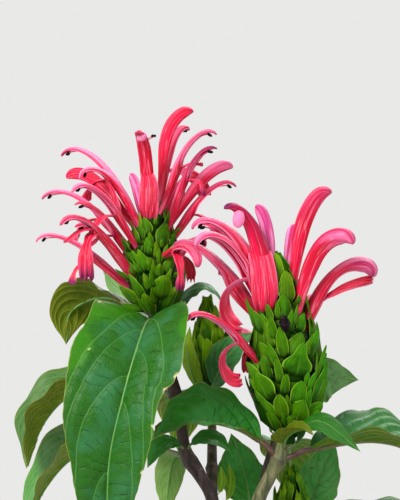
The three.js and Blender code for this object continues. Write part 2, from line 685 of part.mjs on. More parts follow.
function flowerSolid(head, flower, grow = 0) {
  const { up, out, at } = head;
  const { az, h, length, bud, girth = 1, knob = 1 } = flower;
  const tube = bentPath(at(0, az, h), out(az), up, length, (s) => climb(flower, s));
  const [widths, depths] = bud ? [BUD_WIDTH, BUD_DEPTH] : [OPEN_WIDTH, OPEN_DEPTH];
  const section = (s) => {
    const size = girth * along([[KNOB_START, 1], [1, knob]], s);
    return ellipseRing(tube(s), size * along(widths, s) + grow, size * along(depths, s) + grow, FLOWER_SIDES);
  };
  const upper = loft(FLOWER_STATIONS.map(section));
  if (bud) return upper;
  const lip = { az, ...LIP, ...flower.lip };
  const split = tube(lip.at);
  const mouth = split.centre.clone().addScaledVector(split.upper, -0.6);
  const turned = climb(flower, lip.at) - lip.reflex;
  const lipAt = bentPath(mouth, out(lip.az), up, lip.length, (s) => turned - lip.curl * s);
  const lower = LIP_STATIONS.map((s) => {
    const station = twisted(lipAt(s), rad(lip.twist) * s * (2 - s));
    return ellipseRing(station, lip.halfWidth * along(LIP_SHAPE, s) + grow, LIP_THICKNESS / 2 + grow, 4);
  });
  return upper.add(loft(lower));
}

function axisPrism(head, sections, sides) {
  const [upper, across] = [head.out(90), head.out(0)];
  return loft(
    sections.map(([height, radius]) =>
      ellipseRing({ centre: head.at(0, 0, height), upper, across }, radius, radius, sides),
    ),
  );
}

// A head's flowers, joined by the slim rachis that they grow from.
function bloomSolid(head, flowers, grow = 0) {
  const top = Math.max(...flowers.map((flower) => flower.h)) + RACHIS_TIP;
  const ends = [[RACHIS_FOOT - grow, RACHIS_RADIUS + grow], [top + grow, RACHIS_RADIUS + grow]];
  return union([axisPrism(head, ends, 6), ...flowers.map((flower) => flowerSolid(head, flower, grow))]);
}

// A bract is a pointed scale with a keel outside: six points and their hull.
function bractSolid(head, { radius, bractLength, bractWidth }, azimuth, share) {
  const foot = share * head.length;
  const length = bractLength * (1.05 - 0.45 * share);
  const width = bractWidth * (1.1 - 0.4 * share);
  const middle = foot + 0.42 * length;
  const tip = foot + 0.94 * length;
  const surface = (height) => coneRadius(radius, height / head.length);
  const sideways = head.up.clone().cross(head.out(azimuth));
  const out = Math.max(surface(middle), 3.5);
  const edge = (sign) => head.at(out - 1.4, azimuth, middle).addScaledVector(sideways, (sign * width) / 2);
  const points = [
    head.at(0.4 * surface(foot), azimuth, foot),
    edge(1),
    edge(-1),
    head.at(out + 0.9, azimuth, middle),
    head.at(out - 1.6, azimuth, middle),
    head.at(Math.max(surface(tip), 0) + 1.2, azimuth, tip),
  ];
  return wasm.Manifold.hull(points.map((p) => p.toArray()));
}

function bractCone(head, spec) {
  const core = axisPrism(
    head,
    CORE_SHARES.map((share) => {
      const radius = 3.8 + 0.42 * coneRadius(spec.radius, Math.max(share, 0));
      return [share * head.length, radius * (1 - 0.5 * share)];
    }),
    8,
  );
  const bracts = Array.from({ length: spec.bracts }, (_, k) =>
    bractSolid(head, spec, k * GOLDEN_ANGLE, LAST_BRACT * (k / spec.bracts) ** 1.05),
  );
  return union([core, ...bracts]);
}

// Assembly

const group = new THREE.Group();

function addPiece(name, solid, color, roughness) {
  const material = new THREE.MeshStandardMaterial({ color, roughness, metalness: 0, flatShading: true });
  const mesh = new THREE.Mesh(geometryOf(simpler(solid)), material);
  mesh.name = name;
  group.add(mesh);
}

// The stems with the gap round them, which cut the soil, the leaves' feet and the bract cones.
const fatStems = {};
for (const [name, shoots] of Object.entries(STEMS)) fatStems[name] = stemSolid(shoots, GAP);
const allFatStems = union(Object.values(fatStems));

addPiece("pot", potSolid(), CLAY, 0.85);
addPiece("soil", soilSolid(Object.values(fatStems)), SOIL_BROWN, 1);
for (const [name, shoots] of Object.entries(STEMS)) addPiece(name, stemSolid(shoots), STEM_BROWN, 0.6);
for (const leaf of LEAVES) {
  addPiece(leaf.name, largestBody(leafSolid(leaf).subtract(fatStems[leaf.stem])), GREEN[leaf.tone], 0.5);
}
for (const [name, spec] of Object.entries(HEADS)) {
  const head = headFrame(spec);
  const flowers = FLOWERS[name] ?? [];
  let cone = bractCone(head, spec).subtract(allFatStems);
  if (flowers.length) {
    addPiece(name + "_flowers", bloomSolid(head, flowers), PINK, 0.5);
    cone = cone.subtract(bloomSolid(head, flowers, GAP));
  }
  addPiece(name + (flowers.length ? "_bracts" : ""), largestBody(cone), BRACT_GREEN, 0.6);
}

export default group;
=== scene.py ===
"""The looks of a potted Brazilian plume flower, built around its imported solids.

Everything is worked out in millimetres in the frame's own axes, with the same routes as the solids, and
scaled to metres when a mesh is made.
"""

import json
import math

import bmesh
import bpy
import numpy as np
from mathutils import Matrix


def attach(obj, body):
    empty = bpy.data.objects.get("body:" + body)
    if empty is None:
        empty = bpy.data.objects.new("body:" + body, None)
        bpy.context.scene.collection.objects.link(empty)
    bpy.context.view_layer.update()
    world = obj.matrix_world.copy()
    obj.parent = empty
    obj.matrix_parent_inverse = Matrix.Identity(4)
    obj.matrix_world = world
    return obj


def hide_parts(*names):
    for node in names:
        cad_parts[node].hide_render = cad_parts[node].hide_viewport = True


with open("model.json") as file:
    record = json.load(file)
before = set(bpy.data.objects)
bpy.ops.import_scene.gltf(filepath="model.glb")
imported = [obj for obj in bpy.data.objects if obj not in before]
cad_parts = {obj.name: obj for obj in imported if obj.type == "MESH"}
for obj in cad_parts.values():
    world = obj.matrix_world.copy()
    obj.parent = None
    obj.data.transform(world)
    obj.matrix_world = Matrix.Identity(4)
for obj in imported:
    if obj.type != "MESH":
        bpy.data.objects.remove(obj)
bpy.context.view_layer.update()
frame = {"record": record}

# Driving dimensions of the pot and soil
POT_HEIGHT = 130
POT_RIM_RADIUS = 81
POT_BASE_RADIUS = 57
POT_WALL = 5
RIM_BAND = 24
SOIL_LEVEL = 117
SOIL_GAP = 0.3
DRAIN_RADIUS = 5
DRAIN_CIRCLE = 24
DRAIN_ANGLES = [90, 210, 330]

# The front view: a route's point is [column, row, depth], seen at that pixel of the 400 by 500 photograph
# and that many millimetres behind the plane of the flower heads
MM_PER_PIXEL = 0.5
CENTRE_COLUMN = 200
CENTRE_ROW = 250
EYE_DISTANCE = 900
EYE_HEIGHT = 325
FRAME_HEIGHT = 250

MM = 0.001
draw = np.random.RandomState(7)


# Vectors and curves


def seen(points):
    p = np.asarray(points, float)
    spread = MM_PER_PIXEL * (EYE_DISTANCE + p[..., 2]) / EYE_DISTANCE
    x = (p[..., 0] - CENTRE_COLUMN) * spread
    z = EYE_HEIGHT + (CENTRE_ROW - p[..., 1]) * spread
    return np.stack([x, p[..., 2], z], -1)


def unit(v):
    return v / np.linalg.norm(v, axis=-1, keepdims=True)


def turned(v, axis, angle):
    """v turned about a unit axis it is square to, by an angle in radians."""
    angle = np.asarray(angle)[..., None]
    return v * np.cos(angle) + np.cross(axis, v) * np.sin(angle)


def smooth(x, low, high):
    t = np.clip((x - low) / (high - low), 0, 1)
    return t * t * (3 - 2 * t)


def along(table, s, soft=0.05):
    """A value from a table of [position, value] rows, its corners softened over this much."""
    at, value = np.array(table, float).T
    s = np.asarray(s, float)
    return sum(np.interp(s + k * soft, at, value) for k in (-1, -0.5, 0, 0.5, 1)) / 5


class Path:
    """A centripetal Catmull-Rom curve through a route, read by the share of its length."""

    PER_SPAN = 24

    def __init__(self, route):
        p = seen(route)
        p = np.vstack([2 * p[0] - p[1], p, 2 * p[-1] - p[-2]])
        gap = np.linalg.norm(np.diff(p, axis=0), axis=1) ** 0.5
        t = np.linspace(0, 1, self.PER_SPAN, endpoint=False)[:, None]
        spans = []
        for i in range(1, len(p) - 2):
            before, here, after = gap[i - 1 : i + 2]
            step = p[i + 1] - p[i]
            leave = (p[i] - p[i - 1]) / before - (p[i + 1] - p[i - 1]) / (before + here) + step / here
            arrive = step / here - (p[i + 2] - p[i]) / (here + after) + (p[i + 2] - p[i + 1]) / after
            a, b = leave * here, arrive * here
            spans.append(p[i] + a * t + (3 * step - 2 * a - b) * t**2 + (a + b - 2 * step) * t**3)
        self.points = np.vstack([*spans, p[-2:-1]])
        steps = np.linalg.norm(np.diff(self.points, axis=0), axis=1)
        self.run = np.concatenate([[0], np.cumsum(steps)])
        self.length = self.run[-1]

    def share_at(self, point):
        return self.run[point * self.PER_SPAN] / self.length

    def at(self, share):
        """Centres and tangents at these shares of the length."""
        def read(x):
            x = np.clip(x, 0, 1) * self.length
            return np.stack([np.interp(x, self.run, c) for c in self.points.T], -1)

        share = np.atleast_1d(np.asarray(share, float))
        near = 0.012
        return read(share), unit(read(share + near) - read(share - near))


# Meshes


class Shape:
    """A mesh put together from grids of points. Each corner carries two pairs of numbers for the materials,
    and each point four."""

    def __init__(self, *materials):
        self.materials = materials
        self.points, self.faces, self.slots = [], [], []
        self.maps = {"surface": [], "detail": []}
        self.looks = []
        self.count = 0

    def grid(self, points, surface=None, detail=None, look=(0, 0, 0, 0), slot=0):
        """Quads over points of shape (rows, columns, 3). Edges that meet are joined in the finished mesh."""
        rows, columns = points.shape[:2]
        at = self.count + np.arange(rows * columns).reshape(rows, columns)
        quads = np.stack([at[:-1, :-1], at[1:, :-1], at[1:, 1:], at[:-1, 1:]], -1).reshape(-1, 4)
        self.points.append(points.reshape(-1, 3))
        self.faces.append(quads)
        self.slots.append(np.full(len(quads), slot))
        for name, value in (("surface", surface), ("detail", detail)):
            value = np.zeros(2) if value is None else value
            self.maps[name].append(np.broadcast_to(value, (rows, columns, 2)).reshape(-1, 2))
        self.looks.append(np.broadcast_to(look, (rows, columns, 4)).reshape(-1, 4))
        self.count += rows * columns

    def piece(self, name, sharp=55):
        points = np.vstack(self.points) * MM
        faces = np.vstack(self.faces)
        mesh = bpy.data.meshes.new(name)
        mesh.vertices.add(len(points))
        mesh.vertices.foreach_set("co", points.ravel())
        mesh.loops.add(faces.size)
        mesh.loops.foreach_set("vertex_index", faces.ravel())
        mesh.polygons.add(len(faces))
        mesh.polygons.foreach_set("loop_start", np.arange(0, faces.size, 4))
        mesh.polygons.foreach_set("material_index", np.concatenate(self.slots))
        mesh.update(calc_edges=True)
        for key, values in self.maps.items():
            layer = mesh.uv_layers.new(name=key)
            layer.uv.foreach_set("vector", np.vstack(values)[faces.ravel()].astype(np.float32).ravel())
        look = mesh.attributes.new("look", "FLOAT_COLOR", "POINT")
        look.data.foreach_set("color", np.vstack(self.looks).astype(np.float32).ravel())
        for material in self.materials:
            mesh.materials.append(material)
        work = bmesh.new()
        work.from_mesh(mesh)
        bmesh.ops.remove_doubles(work, verts=work.verts, dist=1e-6)
        bmesh.ops.recalc_face_normals(work, faces=work.faces)
        work.to_mesh(mesh)
        work.free()
        mesh.polygons.foreach_set("use_smooth", np.ones(len(mesh.polygons), bool))
        mesh.set_sharp_from_angle(angle=math.radians(sharp))
        made = bpy.data.objects.new(name, mesh)
        bpy.context.scene.collection.objects.link(made)
        return made


def place(piece, slot, *nodes):
    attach(piece, "root")
    if nodes:
        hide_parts(*nodes)


def stacked(*values):
    """Numbers and arrays, brought to one shape, as the last axis of one array."""
    return np.stack(np.broadcast_arrays(*values), -1)


def capped(points, foot, tip):
    """Rows of points, closed at each end by a row that lies in one place."""
    row = (1, points.shape[1], 3)
    return np.vstack([np.broadcast_to(foot, row), points, np.broadcast_to(tip, row)])


def with_ends(rows):
    """The first and last row twice, for a grid that is capped."""
    return np.vstack([rows[:1], rows, rows[-1:]])


def tube(shape, centre, side, front, radii, sides=16, slot=0, look=(0, 0, 0, 0), run=None):
    """A tube round a line of centres, closed at its ends. radii has a row for each centre, and one column
    or `sides` + 1."""
    size = (len(centre), sides + 1)
    angle = np.linspace(0, 2 * math.pi, sides + 1)
    radii = np.broadcast_to(np.asarray(radii, float).reshape(len(centre), -1), size)
    ring = side[:, None] * np.cos(angle)[:, None] + front[:, None] * np.sin(angle)[:, None]
    points = centre[:, None] + ring * radii[..., None]
    run = np.linspace(0, 1, len(centre)) if run is None else run
    surface = stacked(run[:, None], angle / (2 * math.pi))
    look = np.broadcast_to(look, (*size, 4))
    shape.grid(capped(points, centre[0], centre[-1]), with_ends(surface), look=with_ends(look), slot=slot)


def squared(tangent, guide):
    """Two unit directions across a tangent, the first near the guide."""
    side = guide - np.sum(guide * tangent, -1, keepdims=True) * tangent
    side = unit(side)
    return side, np.cross(tangent, side)


# Materials


def linear(red, green, blue):
    values = np.array([red, green, blue]) / 255
    low, high = values / 12.92, ((values + 0.055) / 1.055) ** 2.4
    return (*np.where(values <= 0.04045, low, high), 1.0)


class Output:
    """An output of a material's node, with which a formula can be written."""

    def __init__(self, graph, socket):
        self.graph, self.socket = graph, socket

    def __add__(self, other):
        return self.graph.math("ADD", self, other)

    def __sub__(self, other):
        return self.graph.math("SUBTRACT", self, other)

    def __mul__(self, other):
        return self.graph.math("MULTIPLY", self, other)

    def __abs__(self):
        return self.graph.math("ABSOLUTE", self)


class Graph:
    """A material's nodes, added one at a time. Its settings are those of the shader, with _ for a space."""

    def __init__(self, name, **settings):
        self.material = bpy.data.materials.new(name)
        self.material.use_nodes = True
        self.tree = self.material.node_tree
        self.shader = self.tree.nodes["Principled BSDF"]
        for socket, value in settings.items():
            self.shader.inputs[socket.replace("_", " ")].default_value = value

    def node(self, kind, inputs=(), **settings):
        node = self.tree.nodes.new("ShaderNode" + kind)
        for name, value in settings.items():
            setattr(node, name, value)
        for socket, value in dict(inputs).items():
            self.put(node.inputs[socket], value)
        return [Output(self, socket) for socket in node.outputs]

    def put(self, socket, value):
        if isinstance(value, Output):
            self.tree.links.new(value.socket, socket)
        else:
            socket.default_value = value

    def math(self, operation, *values):
        return self.node("Math", enumerate(values), operation=operation)[0]

    def mix(self, share, a, b):
        return self.node("Mix", {0: share, 6: a, 7: b}, data_type="RGBA", clamp_factor=True)[2]

    def fade(self, value, low, high, to_low=0.0, to_high=1.0):
        inputs = {0: value, 1: low, 2: high, 3: to_low, 4: to_high}
        return self.node("MapRange", inputs, interpolation_type="SMOOTHSTEP", clamp=True)[0]

    def scaled(self, vector, x, y, z=1.0):
        return self.node("Mapping", {"Vector": vector, "Scale": (x, y, z)})[0]

    def noise(self, vector, scale, detail=3.0, rough=0.55):
        inputs = {"Vector": vector, "Scale": scale, "Detail": detail, "Roughness": rough}
        return self.node("TexNoise", inputs)[0]

    def cells(self, vector, scale, feature="DISTANCE_TO_EDGE"):
        return self.node("TexVoronoi", {"Vector": vector, "Scale": scale}, feature=feature)[0]

    def uv(self, name):
        return self.node("UVMap", uv_map=name)[0]

    def parts(self, vector):
        return self.node("SeparateXYZ", {0: vector})

    def look(self):
        """The four numbers that each point carries."""
        color, _, _, last = self.node("Attribute", attribute_name="look")
        return [*self.node("SeparateColor", {0: color}), last]

    def place(self):
        return self.node("TexCoord")[3]

    def finish(self, color, roughness=None, height=None, distance=0.0003, strength=0.6):
        self.put(self.shader.inputs["Base Color"], color)
        if roughness is not None:
            self.put(self.shader.inputs["Roughness"], roughness)
        if height is not None:
            inputs = {"Height": height, "Distance": distance, "Strength": strength}
            self.put(self.shader.inputs["Normal"], self.node("Bump", inputs)[0])
        return self.material


# Leaf colours, red, green and blue out of 255: the upper face, its cooler patches, which are a painted sheen,
# the sky's reflection on the glossy blade, and its warmer patches, the lower face, paler partly of its own
# and partly as painted light shining through the blade, and the veins above and below
TONES = {
    "front": [(26, 88, 10), (38, 102, 56), (42, 114, 0), (90, 118, 34), (92, 150, 66), (146, 162, 84)],
    "dark": [(26, 92, 10), (40, 104, 34), (50, 112, 8), (90, 118, 34), (84, 136, 52), (120, 140, 60)],
    "deep": [(42, 132, 30), (56, 150, 62), (60, 124, 14), (96, 120, 22), (92, 158, 66), (140, 160, 66)],
    # A grey-green upper face that stands in for the sheen on a blade seen at a grazing angle: a painted
    # reflection.
    "sheen_grey": [(60, 106, 42), (88, 126, 74), (70, 116, 22), (112, 130, 34), (126, 160, 96), (150, 164, 72)],
    # A lighter green for leaves that lie behind others, lifted to look lit in their shade: painted light.
    "soft": [(70, 134, 58), (96, 150, 88), (80, 136, 34), (112, 132, 36), (126, 164, 96), (150, 166, 74)],
    # A young leaf's yellower green, partly its own colour and partly painted light shining through it from
    # behind.
    "olive": [(78, 98, 8), (94, 112, 26), (102, 112, 8), (80, 100, 10), (122, 138, 40), (118, 134, 36)],
    "pale": [(96, 146, 74), (122, 166, 104), (92, 144, 42), (130, 176, 94), (142, 178, 110), (158, 190, 120)],
    # A lighter green still, for a leaf deep in the shade of others: painted light.
    "shade_lifted": [(74, 166, 76), (94, 174, 92), (70, 132, 30), (88, 156, 74), (120, 170, 96), (130, 184, 108)],
    "bright": [(98, 154, 10), (120, 172, 30), (140, 176, 8), (112, 154, 28), (150, 192, 56), (150, 186, 68)],
    "teal": [(38, 106, 40), (58, 128, 70), (50, 112, 22), (96, 120, 28), (98, 156, 90), (136, 156, 72)],
}


def leaf_material(tone, lower):
    """Reads the vein map: corners hold the vein's number and spacing in `surface`, and millimetres along
    and across the blade in `detail`. The look holds the share out to the margin, how blemished and how warm
    in colour it is, and the count of its cross creases."""
    name = f"leaf_{tone}_{'lower' if lower else 'upper'}"
    shine = 0.14 if lower else 0.2
    g = Graph(name, Subsurface_Weight=0.06, Subsurface_Scale=0.002, Specular_IOR_Level=shine)
    base, painted_sheen, warm, under, vein, under_vein = (linear(*c) for c in TONES[tone])
    number, spacing, _ = g.parts(g.uv("surface"))
    blade = g.uv("detail")
    _, across, _ = g.parts(blade)
    margin, blemish, warmth, beat = g.look()
    lateral = g.math("PINGPONG", number, 0.5) * spacing
    line = g.fade(lateral, 0.06, 0.34, 1.0, 0.0)
    midrib = g.fade(abs(across), 0.25, 0.62, 1.0, 0.0)
    veins = g.math("MAXIMUM", line, midrib)
    # Cross crease lines, sunk in the relief and also painted darker as shade.
    fold = g.fade(g.math("PINGPONG", beat, 0.5) * RUNG_GAP, 0.05, 0.6, 1.0, 0.0)
    broken = g.fade(g.noise(g.scaled(blade, 0.22, 0.14), 1.0), 0.42, 0.6, 0.05, 1.0)
    fold = fold * broken * g.fade(lateral, 0.3, 1.3) * g.fade(margin, 0.7, 0.92, 1.0, 0.2)
    net = g.fade(g.cells(blade, 0.6), 0.0, 0.1, 1.0, 0.0)
    broad = g.noise(blade, 0.05, 2.0)
    patch = g.noise(blade, 0.22)
    fine = g.noise(blade, 0.9, 4.0, 0.6)
    if lower:
        # The lower face is lighter and yellower, partly its own colour and partly painted light shining
        # through the blade.
        color = g.mix(g.fade(broad, 0.35, 0.7, 0.0, 0.5), under, warm)
        color = g.mix(g.fade(patch, 0.45, 0.7, 0.0, 0.4), color, base)
        color = g.mix(net * 0.2, color, under_vein)
        color = g.mix(veins * 0.85, color, under_vein)
        rough = g.fade(fine, 0.3, 0.7, 0.5, 0.65)
    else:
        # Painted sheen: cooler bluish patches laid by a broad noise, for the sky's reflection on the glossy
        # blade.
        color = g.mix(g.fade(broad - warmth * 0.3, 0.42, 0.62), base, painted_sheen)
        color = g.mix(g.fade(warmth + patch * 0.5, 0.45, 1.05), color, warm)
        color = g.mix(g.fade(fine, 0.4, 0.75, 0.0, 0.25), color, warm)
        # Painted shade: the crease lines darkened, for the shade in the valleys between the pillows.
        color = g.mix(fold * 0.45, color, linear(10, 50, 14))
        for mark, strength in ((net, 0.12), (line, 0.5), (midrib, 0.8)):
            color = g.mix(mark * strength, color, vein)
        rough = g.fade(fine, 0.3, 0.7, 0.34, 0.46)
    color = g.mix(g.fade(margin, 0.978, 0.998, 0.0, 0.6), color, linear(150, 162, 74))
    color = g.mix(blemish, color, linear(204, 190, 138))
    raised = veins * 0.7 + net * 0.25 + fold * 1.2
    height = raised * (1.0 if lower else -1.0) + fine * 0.5
    return g.finish(color, rough, height, 0.0004)


def petiole_material(name, low, high):
    """A leaf stalk: `low` at its foot and `high` along the blade."""
    g = Graph(name, Subsurface_Weight=0.08, Subsurface_Scale=0.003, Roughness=0.5)
    run, _, _ = g.parts(g.uv("surface"))
    mottled = g.noise(g.place(), 900.0)
    color = g.mix(g.fade(run + mottled * 0.25, 0.2, 0.5), linear(*low), linear(*high))
    color = g.mix(g.fade(mottled, 0.5, 0.8, 0.0, 0.3), color, linear(150, 150, 96))
    return g.finish(color, height=mottled, strength=0.4)


def stem_material():
    """The look holds how tan the bark is, how green it is and whether it is at a joint."""
    g = Graph("stem_bark", Specular_IOR_Level=0.35, Roughness=0.55)
    where = g.place()
    tan, green, joint, _ = g.look()
    streak = g.noise(g.scaled(where, 420.0, 420.0, 60.0), 1.0, 4.0, 0.6)
    speck = g.noise(where, 700.0, 3.0, 0.6)
    color = g.mix(g.fade(streak, 0.35, 0.7), linear(44, 28, 32), linear(84, 64, 64))
    light = g.mix(g.fade(streak, 0.3, 0.7), linear(64, 68, 40), linear(132, 132, 92))
    color = g.mix(tan, color, light)
    color = g.mix(green, color, linear(96, 118, 60))
    color = g.mix(g.fade(speck, 0.62, 0.72, 0.0, 0.55), color, linear(160, 150, 122))
    color = g.mix(joint * 0.6, color, linear(52, 38, 40))
    return g.finish(color, height=streak + speck * 0.5, distance=0.0006, strength=0.7)


def petal_material():
    """Corners hold the share along and across a petal in `surface`. The look holds a tint, how purple, how
    pale and how magenta it is there. The tint and the paleness are partly the petal's own and partly painted
    light: paler and pinker where a petal faces up, as light and sheen from above, and deeper crimson where it
    faces down or lies inside the tube, as painted shade."""
    g = Graph("petal", Subsurface_Weight=0.12, Subsurface_Scale=0.002, Subsurface_Radius=(1.0, 0.3, 0.3),
              Specular_IOR_Level=0.22)
    tint, purple, pale, magenta = g.look()
    skin = g.uv("surface")
    stripes = g.noise(g.scaled(skin, 0.9, 7.0), 1.0, 2.0, 0.5)
    veins = g.noise(g.scaled(skin, 1.1, 10.0), 1.0, 2.0, 0.5)
    blush = g.noise(g.scaled(skin, 3.0, 8.0), 0.9)
    thread = g.fade(abs(veins - 0.5), 0.0, 0.035, 1.0, 0.0)
    color = g.mix(g.fade(stripes, 0.42, 0.58), linear(221, 12, 64), linear(189, 0, 38))
    color = g.mix(g.fade(blush + tint, 0.45, 0.85, 0.0, 0.55), color, linear(250, 66, 132))
    plum = g.mix(g.fade(stripes, 0.44, 0.56), linear(236, 140, 198), linear(188, 44, 120))
    color = g.mix(magenta, color, plum)
    color = g.mix(g.fade(pale, 0.0, 0.75, 0.0, 0.85), color, linear(252, 142, 192))
    color = g.mix(g.fade(veins, 0.56, 0.66, 0.0, 0.5), color, linear(186, 0, 40))
    color = g.mix(thread * 0.35, color, linear(252, 158, 190))
    color = g.mix(g.fade(pale, 0.8, 1.0), color, linear(250, 206, 226))
    color = g.mix(purple, color, linear(112, 20, 84))
    rough = g.fade(veins, 0.3, 0.7, 0.4, 0.54)
    return g.finish(color, rough, veins * 0.8 + stripes * 0.9, 0.0006, 0.7)


def grainy_material(name, grain_size, low, high, shades, distance, strength=0.8, **settings):
    """One noise for colour and relief: the first shade up to `low` of it, and the second from `high` on."""
    g = Graph(name, **settings)
    grain = g.noise(g.place(), *grain_size)
    color = g.mix(g.fade(grain, low, high), linear(*shades[0]), linear(*shades[1]))
    return g.finish(color, None, grain, distance, strength)


def anther_material():
    shades = [(16, 5, 14), (64, 30, 44)]
    return grainy_material(
        "anther", (2600.0, 2.0), 0.5, 0.75, shades, 0.0002, Roughness=0.6, Specular_IOR_Level=0.1)


def withered_material():
    shades = [(12, 5, 12), (96, 62, 72)]
    return grainy_material(
        "withered", (500.0, 4.0), 0.5, 0.75, shades, 0.0008, 0.9, Roughness=0.7, Specular_IOR_Level=0.1)


def filament_material():
    g = Graph("filament", Roughness=0.45, Subsurface_Weight=0.2, Subsurface_Scale=0.001)
    run, _, _ = g.parts(g.uv("surface"))
    return g.finish(g.mix(g.fade(run, 0.5, 1.0), linear(244, 130, 172), linear(214, 80, 128)))


def bract_material():
    """Corners hold the share along and across a bract. The look holds a tint, how yellow it is, how far
    inside the cone, which is painted dark as shade, and how young and bright a green, which on a head's right
    side is a painted backlight."""
    g = Graph("bract", Subsurface_Weight=0.08, Subsurface_Scale=0.002, Subsurface_Radius=(0.6, 1.0, 0.2),
              Specular_IOR_Level=0.05)
    skin = g.uv("surface")
    run, across, _ = g.parts(skin)
    tint, yellow, inside, fresh_and_backlit = g.look()
    lines = g.noise(g.scaled(skin, 1.0, 3.4), 1.3, 3.0, 0.6)
    broad = g.noise(g.place(), 180.0, 2.0)
    rise = run + (broad - 0.5) * 0.9
    # Darker at the foot and lighter towards the tip: the dark foot is painted shade where the bracts overlap.
    color = g.mix(g.fade(rise, 0.1, 0.85), linear(16, 56, 2), linear(62, 114, 2))
    # Painted backlight: a brighter, younger green on the bracts of a head's right side, as light through
    # them; each bract also gets a little at random.
    color = g.mix(fresh_and_backlit, color, g.mix(g.fade(rise, 0.1, 0.9), linear(6, 68, 2), linear(34, 136, 6)))
    color = g.mix(g.fade(rise + tint, 0.8, 1.3), color, linear(116, 164, 18))
    color = g.mix(yellow * 0.7, color, linear(98, 128, 12))
    color = g.mix(g.fade(abs(across), 0.0, 0.08, 0.22, 0.0), color, linear(120, 168, 50))
    color = g.mix(g.fade(lines, 0.48, 0.66, 0.0, 0.5), color, linear(22, 74, 4))
    color = g.mix(g.fade(lines, 0.3, 0.44, 0.3, 0.0), color, linear(124, 160, 30))
    # A painted highlight along the thin margins.
    color = g.mix(g.fade(abs(across), 0.84, 1.0, 0.0, 0.75), color, linear(146, 192, 54))
    # Painted shade: darker the deeper inside the cone, on the bracts' lower parts, the covered bracts and the
    # core.
    color = g.mix(inside, color, linear(20, 54, 4))
    return g.finish(color, g.fade(lines, 0.3, 0.7, 0.36, 0.5), lines, 0.0006)


def clay_material():
    g = Graph("clay", Roughness=0.85)
    where = g.place()
    _, _, up = g.parts(where)
    rings = g.noise(g.scaled(where, 6.0, 6.0, 900.0), 1.0, 3.0, 0.6)
    cloud = g.noise(where, 16.0, 4.0, 0.6)
    grain = g.noise(where, 900.0, 4.0, 0.65)
    pits = g.fade(g.cells(where, 620.0, "F1"), 0.06, 0.2, 1.0, 0.0)
    color = g.mix(g.fade(cloud, 0.35, 0.68), linear(168, 88, 60), linear(192, 116, 84))
    color = g.mix(g.fade(grain, 0.4, 0.7, 0.0, 0.4), color, linear(150, 74, 48))
    color = g.mix(g.fade(cloud + rings * 0.35, 0.68, 0.92, 0.0, 0.5), color, linear(214, 186, 164))
    color = g.mix(g.fade(up + cloud * 0.03, 0.012, 0.05, 0.45, 0.0), color, linear(120, 66, 48))
    return g.finish(color, None, rings * 0.5 + grain * 0.5 - pits * 0.3, 0.0006)


def soil_material():
    g = Graph("soil", Roughness=0.95)
    where = g.place()
    crumb = g.noise(where, 420.0, 5.0, 0.7)
    fibre = g.noise(g.scaled(where, 300.0, 90.0, 300.0), 1.0)
    color = g.mix(g.fade(crumb, 0.35, 0.7), linear(34, 24, 18), linear(88, 66, 50))
    color = g.mix(g.fade(fibre, 0.62, 0.72, 0.0, 0.5), color, linear(120, 92, 66))
    return g.finish(color, None, crumb, 0.0015, 0.9)


def perlite_material():
    g = Graph("perlite", Roughness=0.8)
    grain = g.noise(g.place(), 1400.0)
    return g.finish(g.mix(grain, linear(200, 196, 186), linear(232, 230, 224)), None, grain, 0.0005)


# Leaves. A row has the same numbers as its solid: `halves` are the widths of the blade's two halves to the
# left and right of who looks along the leaf, `heading` its way in plan, `roll` lifts the left half, `fold`
# both halves, `cup` turns the margins down and a low `peak` puts the widest part nearer the stem. `veins`
# are the shares of the midrib where the left and right side veins leave it.

BLADE_THICKNESS = 0.55
BLADE_FOOT = 1
WAVES = 4.5
WAVE_HEIGHT = 1.3
PETIOLE_RADIUS = 1.5
WAVY_HALF = 16
SMOOTH_HALF = 10.5
VEIN_FORWARD = 0.5
LEAF_CELL = 0.95
RUNG_GAP = 5
PILLOW = 0.7

